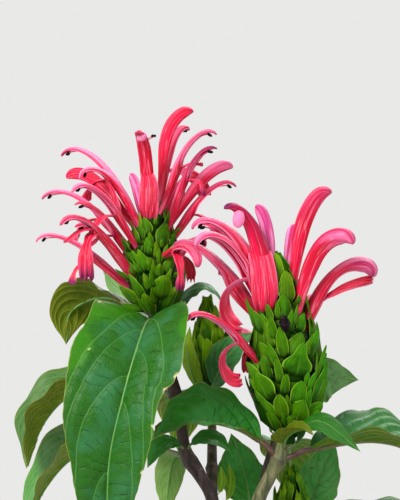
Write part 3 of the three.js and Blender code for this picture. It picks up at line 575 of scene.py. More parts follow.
LEAF = dict(roll=0, fold=18, cup=0.1, peak=0.82, stalk="green", spots={}, glow={})
LEAVES = {
    "leaf_front": dict(
        tone="front", heading=262, roll=4, fold=30, halves=[30, 30.5],
        outline=[
            [[0, 0.55], [0.06, 0.65], [0.14, 0.88], [0.22, 0.97], [0.3, 1], [0.34, 0.93], [0.38, 0.74],
             [0.42, 0.71], [0.5, 0.72], [0.6, 0.68], [0.68, 0.58], [0.74, 0.49], [0.88, 0.28], [0.96, 0.12],
             [1, 0]],
            [[0, 0.88], [0.08, 0.92], [0.18, 0.95], [0.3, 1], [0.4, 0.98], [0.48, 0.92], [0.56, 0.78],
             [0.66, 0.6], [0.78, 0.46], [0.9, 0.28], [0.96, 0.14], [1, 0]],
        ],
        route=[[157, 327, 8], [151.5, 320, -7], [146, 323, -24], [136, 350, -38], [122, 400, -46],
               [110, 454, -46], [107, 510, -40], [110, 566, -32]],
        veins=[[0.1, 0.25, 0.43, 0.77], [0.03, 0.165, 0.345, 0.67, 0.86]],
        spots={-1: [(0.02, 0.82, 1.3), (0.1, 0.9, 1.0), (0.3, 0.72, 0.6)],
               1: [(0.33, 0.99, 1.3), (0.37, 0.99, 1.2), (0.48, 0.99, 0.8), (0.64, 0.99, 0.8)]},
        glow={-1: [(0.04, 0.75, 30), (0.3, 1.0, 14)], 1: [(0.2, 1.0, 7)]},
    ),
    "leaf_upper_left": dict(
        tone="olive", heading=125, roll=20, fold=10, halves=[21] * 2,
        route=[[157, 327, 8], [146, 318, 24], [124, 300, 36], [96, 297, 42], [70, 313, 45], [66, 345, 44]],
    ),
    "leaf_mid_left": dict(
        tone="sheen_grey", heading=180, roll=-4, fold=50, peak=1.7, halves=[23, 31],
        route=[[176, 398, 1], [144, 382, 12], [98, 380, 18], [66, 396, 19], [42, 424, 18], [26, 469, 14]],
    ),
    "leaf_low_left": dict(
        tone="soft", heading=180, roll=-10, fold=46, peak=0.88, halves=[22, 27],
        route=[[187, 457, 0], [156, 448, 14], [110, 438, 26], [70, 458, 29], [43, 490, 27], [20, 542, 22]],
    ),
    "leaf_mid_right": dict(
        tone="deep", heading=180, roll=-24, fold=38, cup=0.12, peak=1, halves=[13, 24], stalk="brown",
        route=[[280, 460, -11], [261, 441, -13], [244, 430, -15], [216, 422, -20], [188, 421, -23],
               [152, 438, -23]],
    ),
    "leaf_right": dict(
        tone="teal", heading=0, roll=5, fold=38, halves=[28, 20], stalk="brown",
        route=[[280, 461, -11], [310, 449, -13], [344, 442, -12], [374, 440, -11], [404, 447, -7],
               [434, 470, -1], [450, 502, 4]],
    ),
    "leaf_under_head": dict(
        tone="dark", heading=340, roll=35, fold=14, cup=0.2, halves=[7, 6.5],
        route=[[286, 450, -11], [296, 443, -25], [307, 424, -32], [322, 422, -35], [340, 434, -37],
               [361, 452, -37]],
    ),
    "leaf_curled": dict(
        tone="olive", heading=330, roll=10, fold=35, cup=-0.1, halves=[7, 8],
        route=[[284, 448, -12], [283, 443, -25], [288, 435, -34], [297, 430, -39], [306, 430, -42],
               [314, 435, -44]],
    ),
    "leaf_behind_right": dict(
        tone="soft", heading=0, roll=66, fold=12, cup=0.15, halves=[13] * 2,
        route=[[277, 433, 9.5], [290, 404, 20], [308, 385, 28], [325, 377, 30], [342, 377, 31],
               [359, 380, 32]],
    ),
    "leaf_between_heads": dict(
        tone="teal", heading=8, roll=12, fold=4, cup=0.25, halves=[9] * 2,
        route=[[158, 334, 7], [172, 314, 24], [188, 291, 25], [206, 284, 24], [220, 296, 25], [225, 312, 26]],
    ),
    "leaf_bud_front": dict(
        tone="teal", heading=345, roll=60, fold=16, halves=[11, 10],
        route=[[212, 396, 27], [213, 386, 16], [223, 362, 8], [238, 345, 5], [253, 332, 4]],
    ),
    "leaf_bud_side": dict(
        tone="bright", heading=215, roll=20, fold=20, cup=0, halves=[5, 6],
        route=[[211, 403, 26], [201, 392, 22], [191, 368, 17], [188, 346, 15], [190, 326, 15]],
    ),
    "leaf_behind_middle": dict(
        tone="deep", heading=110, fold=12, halves=[17, 12],
        route=[[253, 531, -9], [250, 508, 14], [247, 484, 27], [240, 458, 35], [231, 433, 38]],
    ),
    "leaf_behind_low_right": dict(
        tone="shade_lifted", heading=65, fold=12, halves=[13] * 2,
        route=[[287, 562, 22.8], [303, 528, 36], [313, 494, 43], [325, 464, 46], [334, 436, 46]],
    ),
    "leaf_hanging": dict(
        tone="pale", heading=100, fold=14, halves=[8] * 2,
        route=[[188, 461, 0], [184, 452, 16], [174, 458, 27], [168, 486, 32], [166, 520, 30]],
    ),
    "leaf_small_back": dict(
        tone="olive", heading=150, fold=20, cup=0, halves=[6] * 2,
        route=[[181, 428, 0], [174, 421, 12], [164, 427, 19], [156, 445, 21]],
    ),
    "leaf_small_right": dict(
        tone="deep", heading=350, roll=30, fold=20, halves=[6.5] * 2,
        route=[[186, 454, -1], [191, 444, -5], [205, 438, -9], [219, 441, -11], [231, 452, -12]],
    ),
    "leaf_small_left": dict(
        tone="deep", heading=195, roll=-30, fold=20, halves=[6.5] * 2,
        route=[[186, 454, -1], [181, 446, -5], [168, 443, -9], [157, 450, -12], [147, 468, -13]],
    ),
    "leaf_drooping": dict(
        tone="teal", heading=150, roll=40, fold=20, cup=0, halves=[4, 5],
        route=[[277, 435, 9.5], [272, 432, 16], [268, 416, 18], [262, 398, 19]],
    ),
    "shoot_leaf_a": dict(
        tone="bright", heading=20, roll=60, fold=10, cup=0, halves=[2.2] * 2,
        route=[[213, 500, 2.5], [219, 493, 4], [222, 482, 5], [221, 466, 5]],
    ),
    "shoot_leaf_b": dict(
        tone="bright", heading=20, roll=60, fold=10, cup=0, halves=[2.2] * 2,
        route=[[212, 510, 2], [226, 500, 9], [231, 484, 11], [229, 463, 12]],
    ),
    "leaf_upper_back": dict(
        tone="pale", heading=110, fold=14, halves=[10] * 2,
        route=[[161, 346, 5], [153, 328, 46], [136, 306, 64], [118, 287, 74], [102, 267, 82]],
    ),
    "leaf_back_high": dict(
        tone="deep", heading=100, fold=20, halves=[18] * 2,
        route=[[164, 358, 4], [163, 350, 34], [158, 350, 60], [152, 368, 82], [149, 400, 94]],
    ),
    "leaf_back_mid": dict(
        tone="deep", heading=80, fold=20, halves=[19] * 2,
        route=[[176, 398, 1], [178, 392, 30], [180, 396, 60], [180, 418, 86], [178, 452, 98]],
    ),
    "leaf_back_right": dict(
        tone="deep", heading=75, fold=20, halves=[18] * 2,
        route=[[279, 459, -11], [285, 445, 24], [289, 446, 56], [291, 470, 82], [292, 506, 94]],
    ),
    "leaf_low_front_left": dict(
        tone="front", heading=240, cup=0.12, halves=[19] * 2,
        route=[[209, 545, 3], [196, 536, -22], [178, 545, -52], [158, 580, -80], [146, 626, -94]],
    ),
    "leaf_low_front_right": dict(
        tone="deep", heading=300, cup=0.12, halves=[19] * 2,
        route=[[246, 565, -9], [262, 552, -36], [281, 560, -66], [298, 592, -90], [308, 636, -102]],
    ),
    "leaf_low_right": dict(
        tone="front", heading=350, roll=6, cup=0.12, halves=[18] * 2,
        route=[[247, 560, -9], [300, 528, -14], [352, 513, -22], [398, 514, -28], [436, 540, -34],
               [462, 584, -38]],
    ),
    "leaf_low_far_left": dict(
        tone="deep", heading=178, cup=0.12, halves=[18] * 2,
        route=[[205, 560, 4], [168, 552, 2], [122, 556, -4], [80, 584, -10], [54, 628, -14]],
    ),
    "leaf_low_back_left": dict(
        tone="front", heading=130, cup=0.12, halves=[18] * 2,
        route=[[197, 596, 6], [178, 566, 34], [150, 548, 62], [122, 560, 88], [104, 600, 102]],
    ),
    "leaf_low_back": dict(
        tone="deep", heading=85, cup=0.12, halves=[18] * 2,
        route=[[268, 640, 17], [262, 590, 44], [262, 562, 76], [266, 572, 106], [270, 608, 124]],
    ),
    "leaf_low_back_right": dict(
        tone="front", heading=25, cup=0.12, halves=[18] * 2,
        route=[[277, 604, 20.5], [308, 574, 34], [348, 562, 50], [390, 580, 64], [416, 620, 72]],
    ),
}


def ripple(x, y, seed):
    """Smooth unevenness between -1 and 1, from a few crossing waves."""
    pick = np.random.RandomState(seed)
    total = 0
    for _ in range(5):
        angle, phase, size = pick.uniform(0, math.pi), pick.uniform(0, 6.3), pick.uniform(0.6, 1.6)
        total = total + np.sin((x * math.cos(angle) + y * math.sin(angle)) * size + phase)
    return total / 5


def vein_starts(leaf, side, length):
    if "veins" in leaf:
        return leaf["veins"][0 if side > 0 else 1]
    pairs = max(4, round(3 + length / 18))
    shift = 0.35 if side > 0 else 0
    return [0.9 * ((k + shift) / pairs) ** 0.9 + 0.02 for k in range(pairs)]


def vein_map(leaf, side, length, s, share, reach):
    """The number of the nearest side vein and the spacing there."""
    s = s[:, None] - VEIN_FORWARD * share**1.8 * (1 - 0.3 * s[:, None])
    starts = np.array(vein_starts(leaf, side, length))
    known = np.concatenate([[starts[0] - 0.7], starts, [1.3]])
    number = np.interp(s, known, np.arange(len(known)))
    step = np.interp(s, (known[1:] + known[:-1]) / 2, np.diff(known))
    slope = 2 * VEIN_FORWARD * share * length / np.maximum(reach, 3)
    return number, step * length / np.sqrt(1 + slope**2)


def creases(widest, side, run, out, share, number, near, seed):
    """The count of the cross creases between the side veins, and the height of the pillows they part."""
    slanted = run + 0.5 * out * (1 - 0.6 * share)
    beat = 2 * math.pi * slanted / RUNG_GAP + 3.8 * ripple(run * 0.17, side * out * 0.26, seed + 3)
    beat = beat + 2.1 * np.floor(number) * side
    if widest < SMOOTH_HALF:
        beat = np.full_like(beat, math.pi)
    shelf = (1 - np.exp(-((near / 2.2) ** 2))) * (1 - share**6) * (1 - np.exp(-((out / 3) ** 2)))
    puffed = 0.45 + 0.55 * smooth(ripple(run * 0.1, side * out * 0.1, seed + 5), -0.5, 0.2)
    return beat, PILLOW * np.abs(np.sin(beat / 2)) ** 0.7 * shelf * puffed


def round_marks(marks, length, run, out, reach, inner):
    """The strength of round marks over a blade. A mark is a share along, a share out and a radius."""
    total = 0 * out
    for share_along, share_out, radius in marks:
        gone = np.hypot(run - share_along * length, out - share_out * reach) / radius
        total = total + 1 - smooth(gone, inner, 1)
    return total


def leaf_frame(leaf, path, shares):
    """Centres at these shares of a leaf's route, and the ways to its left and up. Its roll comes in along
    the stalk."""
    centre, tangent = path.at(shares)
    heading = math.radians(leaf["heading"])
    left, _ = squared(tangent, np.array([-math.sin(heading), math.cos(heading), 0.0]))
    turn = math.radians(leaf["roll"]) * np.clip(shares / path.share_at(BLADE_FOOT), 0, 1)
    left = turned(left, tangent, turn)
    return centre, left, np.cross(tangent, left)


def leaf_halves(shape, leaf, seed):
    """The blade's two halves, each an upper and a lower face that meet at the margin."""
    path = Path(leaf["route"])
    start = path.share_at(BLADE_FOOT)
    length = path.length * (1 - start)
    widest = max(leaf["halves"])
    cell = LEAF_CELL * (1 if 15 < widest < 35 else 0.75)
    s = np.linspace(0, 1, max(18, round(length / cell)) + 1)
    centre, left, normal = leaf_frame(leaf, path, start + (1 - start) * s)
    oval = np.sin(math.pi * s ** leaf["peak"]).clip(0) ** (0.8 + 0.35 * s)
    lift = np.radians(leaf["fold"]) * (1 - 0.5 * s)
    wave_height = WAVE_HEIGHT * min(1, widest / WAVY_HALF) ** 2
    run = s[:, None] * length
    for index, side in enumerate((1, -1)):
        half = leaf["halves"][index]
        spots = leaf["spots"].get(side, [])
        share = np.linspace(0, 1, max(6, round(half / cell)) + 1)
        spread = along(leaf["outline"][index], s, 0.012) if "outline" in leaf else oval
        teeth = 0.2 * np.abs(np.sin(s * length * 0.55 + seed))
        teeth = teeth + 0.3 * ripple(s * length * 0.5, 0, seed + index)
        teeth = teeth + widest / 40 * ripple(s * length * 0.16, 0, seed + index + 20)
        for where, share_out, radius in spots:
            bite = np.exp(-(((s - where) * length / radius) ** 2))
            teeth = teeth - 0.7 * radius * (share_out > 0.95) * bite
        reach = (half * spread + teeth * np.minimum(1, 4 * spread))[:, None].clip(0)
        out = share * reach
        wave = wave_height * spread[:, None] * share**2 * np.sin(2 * math.pi * WAVES * s + side)[:, None]
        frill = 0.02 * widest * spread[:, None] * share**4 * ripple(run * 0.7, share, seed + 9)
        rise = out * np.sin(lift)[:, None] - leaf["cup"] * share**2 * reach + wave + frill
        number, spacing = vein_map(leaf, side, length, s, share, reach)
        near = np.abs(number - np.round(number)) * spacing
        beat, pillows = creases(widest, side, run, out, share, number, near, seed)
        quilt = 0.55 * np.exp(-((near / 1.5) ** 2)) + 0.5 * np.exp(-((out / 1.5) ** 2))
        relief = (pillows - quilt) * np.minimum(1, widest / WAVY_HALF) * np.minimum(1, 6 * spread[:, None])
        middle = (
            centre[:, None]
            + left[:, None] * (side * out * np.cos(lift)[:, None])[..., None]
            + normal[:, None] * (rise + relief * (1 - share**8))[..., None]
        )
        ends = np.minimum(1, np.minimum(s, 1 - s) * 30)[:, None]
        thick = (BLADE_THICKNESS / 2 * (1 - share**5) * ends)[..., None] * normal[:, None]
        warm = 0.35 * share**3 + 0.15 * ripple(run * 0.08, side * out * 0.1, seed + 7)
        warm = warm + 0.8 * round_marks(leaf["glow"].get(side, []), length, run, out, reach, 0.3)
        blemish = np.minimum(1, round_marks(spots, length, run, out, reach, 0.6))
        look = stacked(share, blemish, warm, beat / (2 * math.pi))
        surface = stacked(number, spacing * max(1, WAVY_HALF / widest))
        for face, slot in ((1, 0), (-1, 1)):
            shape.grid(middle + face * thick, surface, stacked(run, side * out), look, slot)


def leaf_stalk(shape, leaf):
    """The petiole, which runs on below the blade as its midrib."""
    path = Path(leaf["route"])
    start = path.share_at(BLADE_FOOT)
    u = np.concatenate([np.linspace(0, start, 14, endpoint=False), np.linspace(start, 0.985, 46)])
    centre, left, normal = leaf_frame(leaf, path, u)
    on_blade = np.clip((u - start) / (1 - start), 0, 1)
    scale = min(1, max(leaf["halves"]) / 14)
    radius = PETIOLE_RADIUS * scale * (0.95 - 0.75 * on_blade**0.7)
    drop = radius * 0.55 * np.clip((u - start) / 0.08 + 0.3, 0, 1) + 0.3 * (on_blade > 0)
    tube(shape, centre - normal * drop[:, None], left, normal, radius[:, None], 10, slot=2, run=u)


def make_leaves():
    stalks = {
        "green": petiole_material("stalk_green", (112, 128, 84), (88, 144, 62)),
        "brown": petiole_material("stalk_brown", (92, 58, 56), (112, 120, 62)),
    }
    faces = {tone: [leaf_material(tone, lower) for lower in (False, True)] for tone in TONES}
    slots = {row["node"]: row["material_slot"] for row in frame["record"]["subparts"]}
    for index, (name, row) in enumerate(LEAVES.items()):
        leaf = {**LEAF, **row}
        shape = Shape(*faces[leaf["tone"]], stalks[leaf["stalk"]])
        leaf_halves(shape, leaf, 20 + index)
        leaf_stalk(shape, leaf)
        place(shape.piece(name + "_blade"), slots[name], name)


# Stems, as shoots with a route, the radii at foot and tip, the joints as shares of the length, how tan the
# bark is, and the shares between which it turns green

JOINT_SWELLING = 0.28
JOINT_REACH = 0.03
STEM_SIDES = 28
STEM_STEP = 1.3
STEMS = {
    "stem_left": [
        dict(route=[[184, 745, 8], [185, 664, 8], [196, 600, 6], [209, 545, 3], [212, 499, 1], [199, 474, 0],
                    [186, 453, -1], [181, 425, 0], [174, 388, 2], [164, 348, 5], [157, 313, 8]],
             radii=[4.4, 2.2], joints=[0.44, 0.66, 0.81, 0.985], tan=0.05, green=[0.9, 1]),
        dict(route=[[212, 506, 2], [212, 471, 10], [212, 430, 20], [212, 405, 26], [212, 384, 30]],
             radii=[2.9, 1.8], joints=[0.3, 0.97], tan=0.25, green=[0.8, 1]),
    ],
    "stem_right": [
        dict(route=[[236, 745, -6], [236, 664, -6], [241, 600, -8], [250, 545, -9], [259, 499, -10],
                    [269, 478, -10], [279, 459, -11], [287, 434, -12]],
             radii=[4.6, 2.9], joints=[0.5, 0.915], tan=0.9, green=[0.86, 1.1]),
        dict(route=[[258, 500, -9], [266, 466, 2], [274, 441, 9], [277, 431, 10]],
             radii=[1.8, 1.3], joints=[0.9], tan=0.2, green=[0.7, 1.2]),
    ],
    "stem_low": [
        dict(route=[[262, 745, 16], [262, 664, 16], [272, 622, 19], [284, 576, 22], [291, 537, 24]],
             radii=[3.4, 2.1], joints=[0.6], tan=0.3, green=[0.7, 1]),
    ],
}


def make_stems():
    bark = stem_material()
    turn = np.linspace(0, 2 * math.pi, STEM_SIDES + 1)
    furrows = 1 + 0.035 * np.cos(4 * turn + 0.6) + 0.012 * np.cos(9 * turn + 1)
    for index, (name, shoots) in enumerate(STEMS.items()):
        shape = Shape(bark)
        for shoot in shoots:
            path = Path(shoot["route"])
            s = np.linspace(0, 1, max(40, round(path.length / STEM_STEP)))
            centre, tangent = path.at(s)
            side, front = squared(tangent, np.cross(np.array([0.0, 1.0, 0.0]), tangent))
            swelling = sum(np.exp(-(((s - j) / JOINT_REACH) ** 2)) for j in shoot["joints"])
            ring = sum(np.exp(-(((s - j) * path.length / 0.9) ** 2)) for j in shoot["joints"])
            foot, tip = shoot["radii"]
            radius = (foot + (tip - foot) * s) * (1 + JOINT_SWELLING * swelling + 0.07 * ring)
            lumps = 1 + 0.02 * ripple(s[:, None] * path.length * 0.3, turn * 2, 40 + index)
            look = stacked(shoot["tan"], smooth(s, *shoot["green"]) * 0.7, np.clip(ring, 0, 1), 0)[:, None]
            tube(shape, centre, side, front, radius[:, None] * furrows * lumps, STEM_SIDES, look=look, run=s)
        place(shape.piece(name + "_bark"), "stem", name)


# Flower heads. Heights and radii are along and from the axis of a head, and azimuths round it: 0 right, 90
# back, 180 left, 270 front.

GOLDEN_ANGLE = 137.5
BRACTS_FOR_ONE = 1.5
LAST_BRACT = 0.84
EMERGE_DROP = 38
EMERGE_LENGTH = 7

# A cone has its widest `radius`, the radius of its `core` at the foot, and its `bracts` with the `length`
# and `width` of the longest and the power that makes them pointed or blunt, `point`. From the azimuth
# `shown` on, the front view's bracts take over. `trim` draws in the left side, and a low `spread` closes
# the top.
HEAD = dict(trim=0, fresh_and_backlit=0, light=0, spread=1)
HEADS = {
    "head_left": dict(
        base=[153, 318, 8], top=[153, 198, 8], radius=15.5, core=2.4, point=0.85, bracts=34, length=24,
        width=12.5, shown=190),
    "head_right": dict(
        base=[289, 440, -12], top=[275, 252, -12], radius=20, core=3.2, point=0.62, bracts=46, length=29,
        width=15, shown=150, trim=3.2, fresh_and_backlit=0.6, light=-0.38),
    "bud_head_middle": dict(
        base=[212, 387, 30], top=[207, 295, 30], radius=9.5, core=2, point=0.55, bracts=19, length=22,
        width=11, fresh_and_backlit=0.3, light=0.4, spread=0.2),
    "bud_head_low": dict(
        base=[292, 540, 24], top=[290, 461, 22], radius=9.5, core=2, point=0.6, bracts=18, length=18,
        width=8.5, fresh_and_backlit=1, light=0.35, spread=0.3),
}

# Shapes of lower lips and bracts: the share of the width at shares of the length
BIB = [[0, 0.85], [0.15, 0.92], [0.5, 0.97], [0.8, 1], [0.93, 0.92], [1, 0.7]]
SLEEVE = [[0, 0.55], [0.3, 0.8], [0.6, 1], [0.85, 0.95], [1, 0.75]]
WAIST = [[0, 0.9], [0.4, 0.9], [0.75, 0.5], [0.9, 0.9], [1, 0.7]]
SCOOP = [[0, 0.45], [0.25, 0.6], [0.5, 1], [0.8, 1], [0.93, 0.7], [1, 0.3]]
TUCKED = dict(reflex=-6, curl=20, length=11, half=2.2)
LIP_SHAPE = [[0, 0.5], [0.3, 0.85], [0.7, 1], [0.9, 0.95], [1, 0.8]]

# A lower lip leaves the tube at the share `at`, turned down by `reflex` degrees and by `curl` more along
# its `length`. `half` is its half width and `az` its own azimuth. `pinch` narrows its middle and `ball`
# thickens its end.
LIP = dict(
    at=0.48, reflex=25, curl=120, length=22, half=3.6, twist=0, shape=LIP_SHAPE, ribs=1, gutter=1, pale=0,
    dark=0, ball=0, pinch=0)

# A flower leaves its head at the height `h` and azimuth `az`, climbs at `rise` degrees and bends over by
# `bend` along its `length`. `girth`, `knob` and `stout` thicken the whole, the tip and the middle, `hook`
# turns the tip down and `aside` moves the stamens. `pale`, `purple`, `magenta` and `tipped` colour it; `pale`
# sets how much paler its up-facing side is, partly its own colour and partly painted light from above.
FLOWER = dict(
    girth=1, knob=1, stout=1, hook=40, aside=0, tipped=0, pale=0.3, purple=0, magenta=0, bud=False,
    bare=False, lip={})
FLOWERS = {
    "head_left": [
        dict(h=54, az=4, rise=93, bend=98, length=58.5, bud=True, pale=0.1, tint=-0.35),
        dict(h=48, az=50, rise=85, bend=98, length=61,
             lip=dict(at=0.44, reflex=50, curl=110, length=28, half=4.2, twist=70, az=10, pale=0.5)),
        dict(h=49, az=351, rise=78, bend=96, length=59, pale=0.7, purple=0.3,
             lip=dict(reflex=25, curl=60, length=14, half=2.4)),
        dict(h=30, az=341, rise=77, bend=66, length=68, purple=0.9, pale=0.5,
             lip=dict(at=0.6, reflex=10, curl=174, length=17, half=2.4, dark=1)),
        dict(h=39, az=20, rise=62, bend=76, length=60, bud=True, tipped=0.5, pale=0.4),
        dict(h=30, az=8, rise=63, bend=82, length=60, purple=0.25,
             lip=dict(reflex=40, length=21, dark=0.8)),
        dict(h=45, az=254, rise=83.5, bend=80, length=57, girth=1.15, pale=0.15, tint=-0.3, aside=7.5,
             flap=[141.8, 137, 10, 9],
             lip=dict(at=0.5, reflex=68, curl=150, length=32, half=5, az=276, pale=0.1, ribs=0.3,
                      shape=SLEEVE)),
        dict(h=38, az=149, rise=82, bend=25, length=38, bud=True, girth=0.8, magenta=0.9, pale=0.1),
        dict(h=38, az=189, rise=73, bend=145, length=58, pale=0.7,
             lip=dict(at=0.68, reflex=150, curl=-16, length=22, half=4.8, az=199)),
        dict(h=42, az=159, rise=64, bend=106, length=72, pale=0.72, hook=25),
        dict(h=38, az=158, rise=58, bend=91, length=63, bud=True, pale=0.1, tint=-0.35),
        dict(h=27, az=214, rise=62, bend=98, length=65, pale=0.72),
        dict(h=26, az=174, rise=55, bend=98, length=72, pale=0.7, hook=20),
        dict(h=13, az=216, rise=55, bend=93, length=70,
             lip=dict(at=0.66, reflex=20, curl=70, length=20, half=2.4)),
        dict(h=9, az=186, rise=47, bend=75, length=70, pale=0.7,
             lip=dict(at=0.51, reflex=35, curl=95, length=20, half=2.4, az=202, ball=1)),
        dict(h=11, az=205, rise=58, bend=60, length=57,
             lip=dict(at=0.76, reflex=20, curl=150, length=37, half=4.2, az=254, dark=1, pinch=1,
                      ribs=0.4)),
        dict(h=20, az=196, rise=61, bend=60, length=57),
        dict(h=31, az=297, rise=22, bend=112, length=56,
             lip=dict(at=0.42, reflex=13, curl=132, length=26, half=2.9, az=291, dark=1, ribs=0.6,
                      shape=WAIST)),
        dict(h=40, az=31, rise=80, bend=150, length=46, lip=dict(at=0.7, reflex=110, curl=90, length=14)),
        dict(h=26, az=95, rise=55, bend=100, length=58),
        dict(h=16, az=58, rise=46, bend=90, length=58),
    ],
    "head_right": [
        dict(h=59, az=358, rise=82, bend=60, length=72, bud=True, girth=1.3, pale=0.1, tint=-0.35, hook=130,
             tipped=0.25),
        dict(h=45, az=328, rise=77, bend=124, length=76, bud=True, girth=1.4, pale=0.1, tint=-0.35, hook=110,
             tipped=0.45),
        dict(h=36, az=0, rise=73, bend=149, length=76, girth=1.5, knob=2.4, tipped=0.5, pale=0.15,
             lip=dict(at=0.43, reflex=17, curl=44, length=34, half=2.6, twist=60)),
        dict(h=57, az=45, rise=82, bend=20, length=52, bud=True, girth=1.05, magenta=1, pale=0.1),
        dict(h=66, az=135, rise=96, bend=58, length=53, bud=True, magenta=1, pale=0.1, girth=1.05),
        dict(h=49, az=212, rise=90, bend=88, length=79, girth=1.5, stout=1.6, purple=0.9, pale=0.15,
             tint=-0.3, bare=True, flap=[238.5, 219, 12, 18],
             lip=dict(at=0.585, reflex=104, curl=108, length=35, half=6.6, az=277, shape=BIB, pale=0.15,
                      ribs=0.3, gutter=0.2)),
        dict(h=58, az=192, rise=78, bend=119, length=73, girth=1.45, stout=1.5, pale=0.45, tint=-0.2,
             tipped=0.3, lip=TUCKED),
        dict(h=54, az=212, rise=73, bend=126, length=74, girth=1.5, pale=0.6,
             lip=dict(at=0.41, reflex=52, curl=178, length=37, half=4.6, az=197, twist=70, pale=0.4,
                      ribs=0.5, shape=SCOOP)),
        dict(h=50, az=185, rise=63, bend=62, length=74, girth=1.45, stout=1.3, pale=0.5, purple=0.3,
             lip=TUCKED),
        dict(h=54, az=171, rise=75, bend=76, length=72, girth=1.4, pale=0.6, lip=TUCKED),
        dict(h=28, az=209, rise=56, bend=83, length=68, pale=0.2,
             lip=dict(at=0.46, reflex=35, curl=201, length=31, half=4.2, az=198, twist=60, pale=0.3,
                      ribs=0.5)),
        dict(h=50, az=100, rise=52, bend=100, length=58),
        dict(h=43, az=62, rise=48, bend=95, length=60),
        dict(h=35, az=120, rise=42, bend=90, length=54),
        dict(h=27, az=84, rise=42, bend=95, length=58),
    ],
}

# Bracts of the front view: column and row of tip and foot, and width, in pixels, with what sets one apart
SPADE = [[0, 0.3], [0.2, 0.7], [0.4, 1], [0.52, 0.96], [0.62, 0.55], [0.75, 0.34], [0.9, 0.26], [1, 0.05]]
WAVY = dict(outline=SPADE, wavy=1.4, flare=3.5, lift=1, roll=0.1, cup=0.2)
TOP = dict(yellow=0.5, lift=1.5, flare=2, cup=0.1, tint=0.2)
FRONT_BRACTS = {
    "head_left": [
        (169, 207, 165.5, 229, 7), (156, 212, 157, 228, 5), (145, 216, 150, 239, 11),
        (162, 223.5, 162.5, 250, 14), (172, 230, 169, 249, 6), (177.5, 227, 173, 239, 5),
        (128.5, 221, 140, 248, 8, dict(lift=-1.5, deep=0.9)), (141.5, 223, 145, 244, 5),
        (147, 237, 149, 259, 8), (156.5, 239, 156.5, 262, 6.5, dict(yellow=0.7)), (161, 239, 162, 250, 4),
        (119, 232, 131, 257, 7, dict(deep=0.9)), (127, 245.5, 138, 265, 9), (140, 249, 146.5, 277, 11),
        (147.5, 256, 151, 275, 5), (154, 259, 154.5, 280, 5, dict(yellow=0.6)), (159.5, 263, 159, 281, 9),
        (170, 256, 168, 279, 12), (134.5, 259.5, 142, 277, 4), (144.5, 272.5, 150.5, 294, 7),
        (164, 275, 159.5, 303, 21, dict(point=0.5, cup=0.2, roll=0.05)), (129.5, 273.5, 144, 299, 11),
        (119, 269, 129, 282, 6), (120.5, 286, 137, 307, 11), (128, 287, 141, 308, 8),
        (177, 272, 173.5, 280, 5), (175.5, 286, 161, 313, 14), (138, 297, 151, 318, 8),
        (145.5, 292.5, 152, 320, 14, dict(point=0.8, cup=0.5)), (124, 304, 145, 312, 7),
        (150, 232, 152, 253, 7), (166, 244, 165, 264, 8), (171, 244, 168.5, 262, 6), (134, 250, 142, 272, 7),
        (152, 268, 155, 292, 8), (170, 268, 166, 292, 9), (137, 280, 146, 304, 8), (152, 288, 155, 308, 7),
        (127, 257, 136, 278, 7), (159, 248, 160, 270, 6),
    ],
    "head_right": [
        (276, 253, 280, 298, 15, TOP), (283, 271, 287, 306, 17, TOP), (300.5, 279, 297, 310, 7),
        (283, 293.5, 285, 324, 15), (277, 301, 278, 323, 5), (295.5, 304, 295, 331, 5),
        (303, 313, 298, 334, 9), (247.5, 297, 257, 336, 8, dict(deep=0.9)), (256, 309, 262, 337, 10),
        (265, 320.5, 271, 354, 13), (279, 326, 285, 364, 11.5), (299, 332, 293, 364, 20),
        (268, 341, 283, 377, 7), (261.5, 341, 272, 374, 13), (316, 330, 308, 363, 12),
        (309, 333, 306, 361, 9, dict(yellow=0.5)), (322, 346, 313, 387, 9), (325, 354, 314, 394, 15),
        (299, 342, 294, 382, 33, WAVY), (249, 362, 262, 397, 15), (258, 372, 271, 405, 22),
        (285, 372.5, 284, 398, 9), (299.5, 379.5, 296, 413, 16), (307, 371, 304, 391, 6),
        (322, 366, 309, 410, 12), (279, 392.5, 283, 425, 15), (286, 393, 289, 419, 5),
        (301, 398, 293, 430, 21, dict(wavy=1.2, point=0.9)), (319, 403, 304, 427, 14, dict(point=0.5)),
        (316, 410, 302, 430, 6), (283, 411, 286, 430, 6), (264, 399, 283, 437, 12), (291, 414, 290, 434, 12),
        (276, 357, 281, 386, 8), (314, 371, 306, 401, 10), (309, 388, 303, 415, 9),
        (263, 354, 270, 385, 9), (272, 411, 281, 436, 9), (310, 417, 299, 437, 10),
        (252, 378, 265, 407, 8), (258, 390, 272, 419, 9), (262, 313, 267, 338, 10), (271, 316, 274, 345, 9),
        (291, 309, 290, 337, 7), (268, 303, 271, 326, 8),
    ],
}

# A bract's `deep` sets how much painted shade darkens its lower part.
BRACT = dict(wavy=0.5, deep=0.75, hidden=False)
FRONT_RANGES = dict(
    lift=(-0.4, 0.6), flare=(0.6, 2.6), cup=(0.1, 0.7), roll=(-0.35, 0.35), tint=(-0.15, 0.25),
    yellow=(0, 0.4), fresh_and_backlit=(0, 0.3))
CONE_RANGES = dict(
    lift=(-2.2, 0.4), flare=(0.2, 3.0), cup=(-0.1, 0.7), roll=(-0.4, 0.4), tint=(-0.2, 0.3),
    yellow=(0, 0.5), fresh_and_backlit=(0, 0.3))
BRACT_THICKNESS = 0.56
# Columns over which the front bracts take on their head's painted backlight.
BACKLIT_COLUMNS = (292, 322)

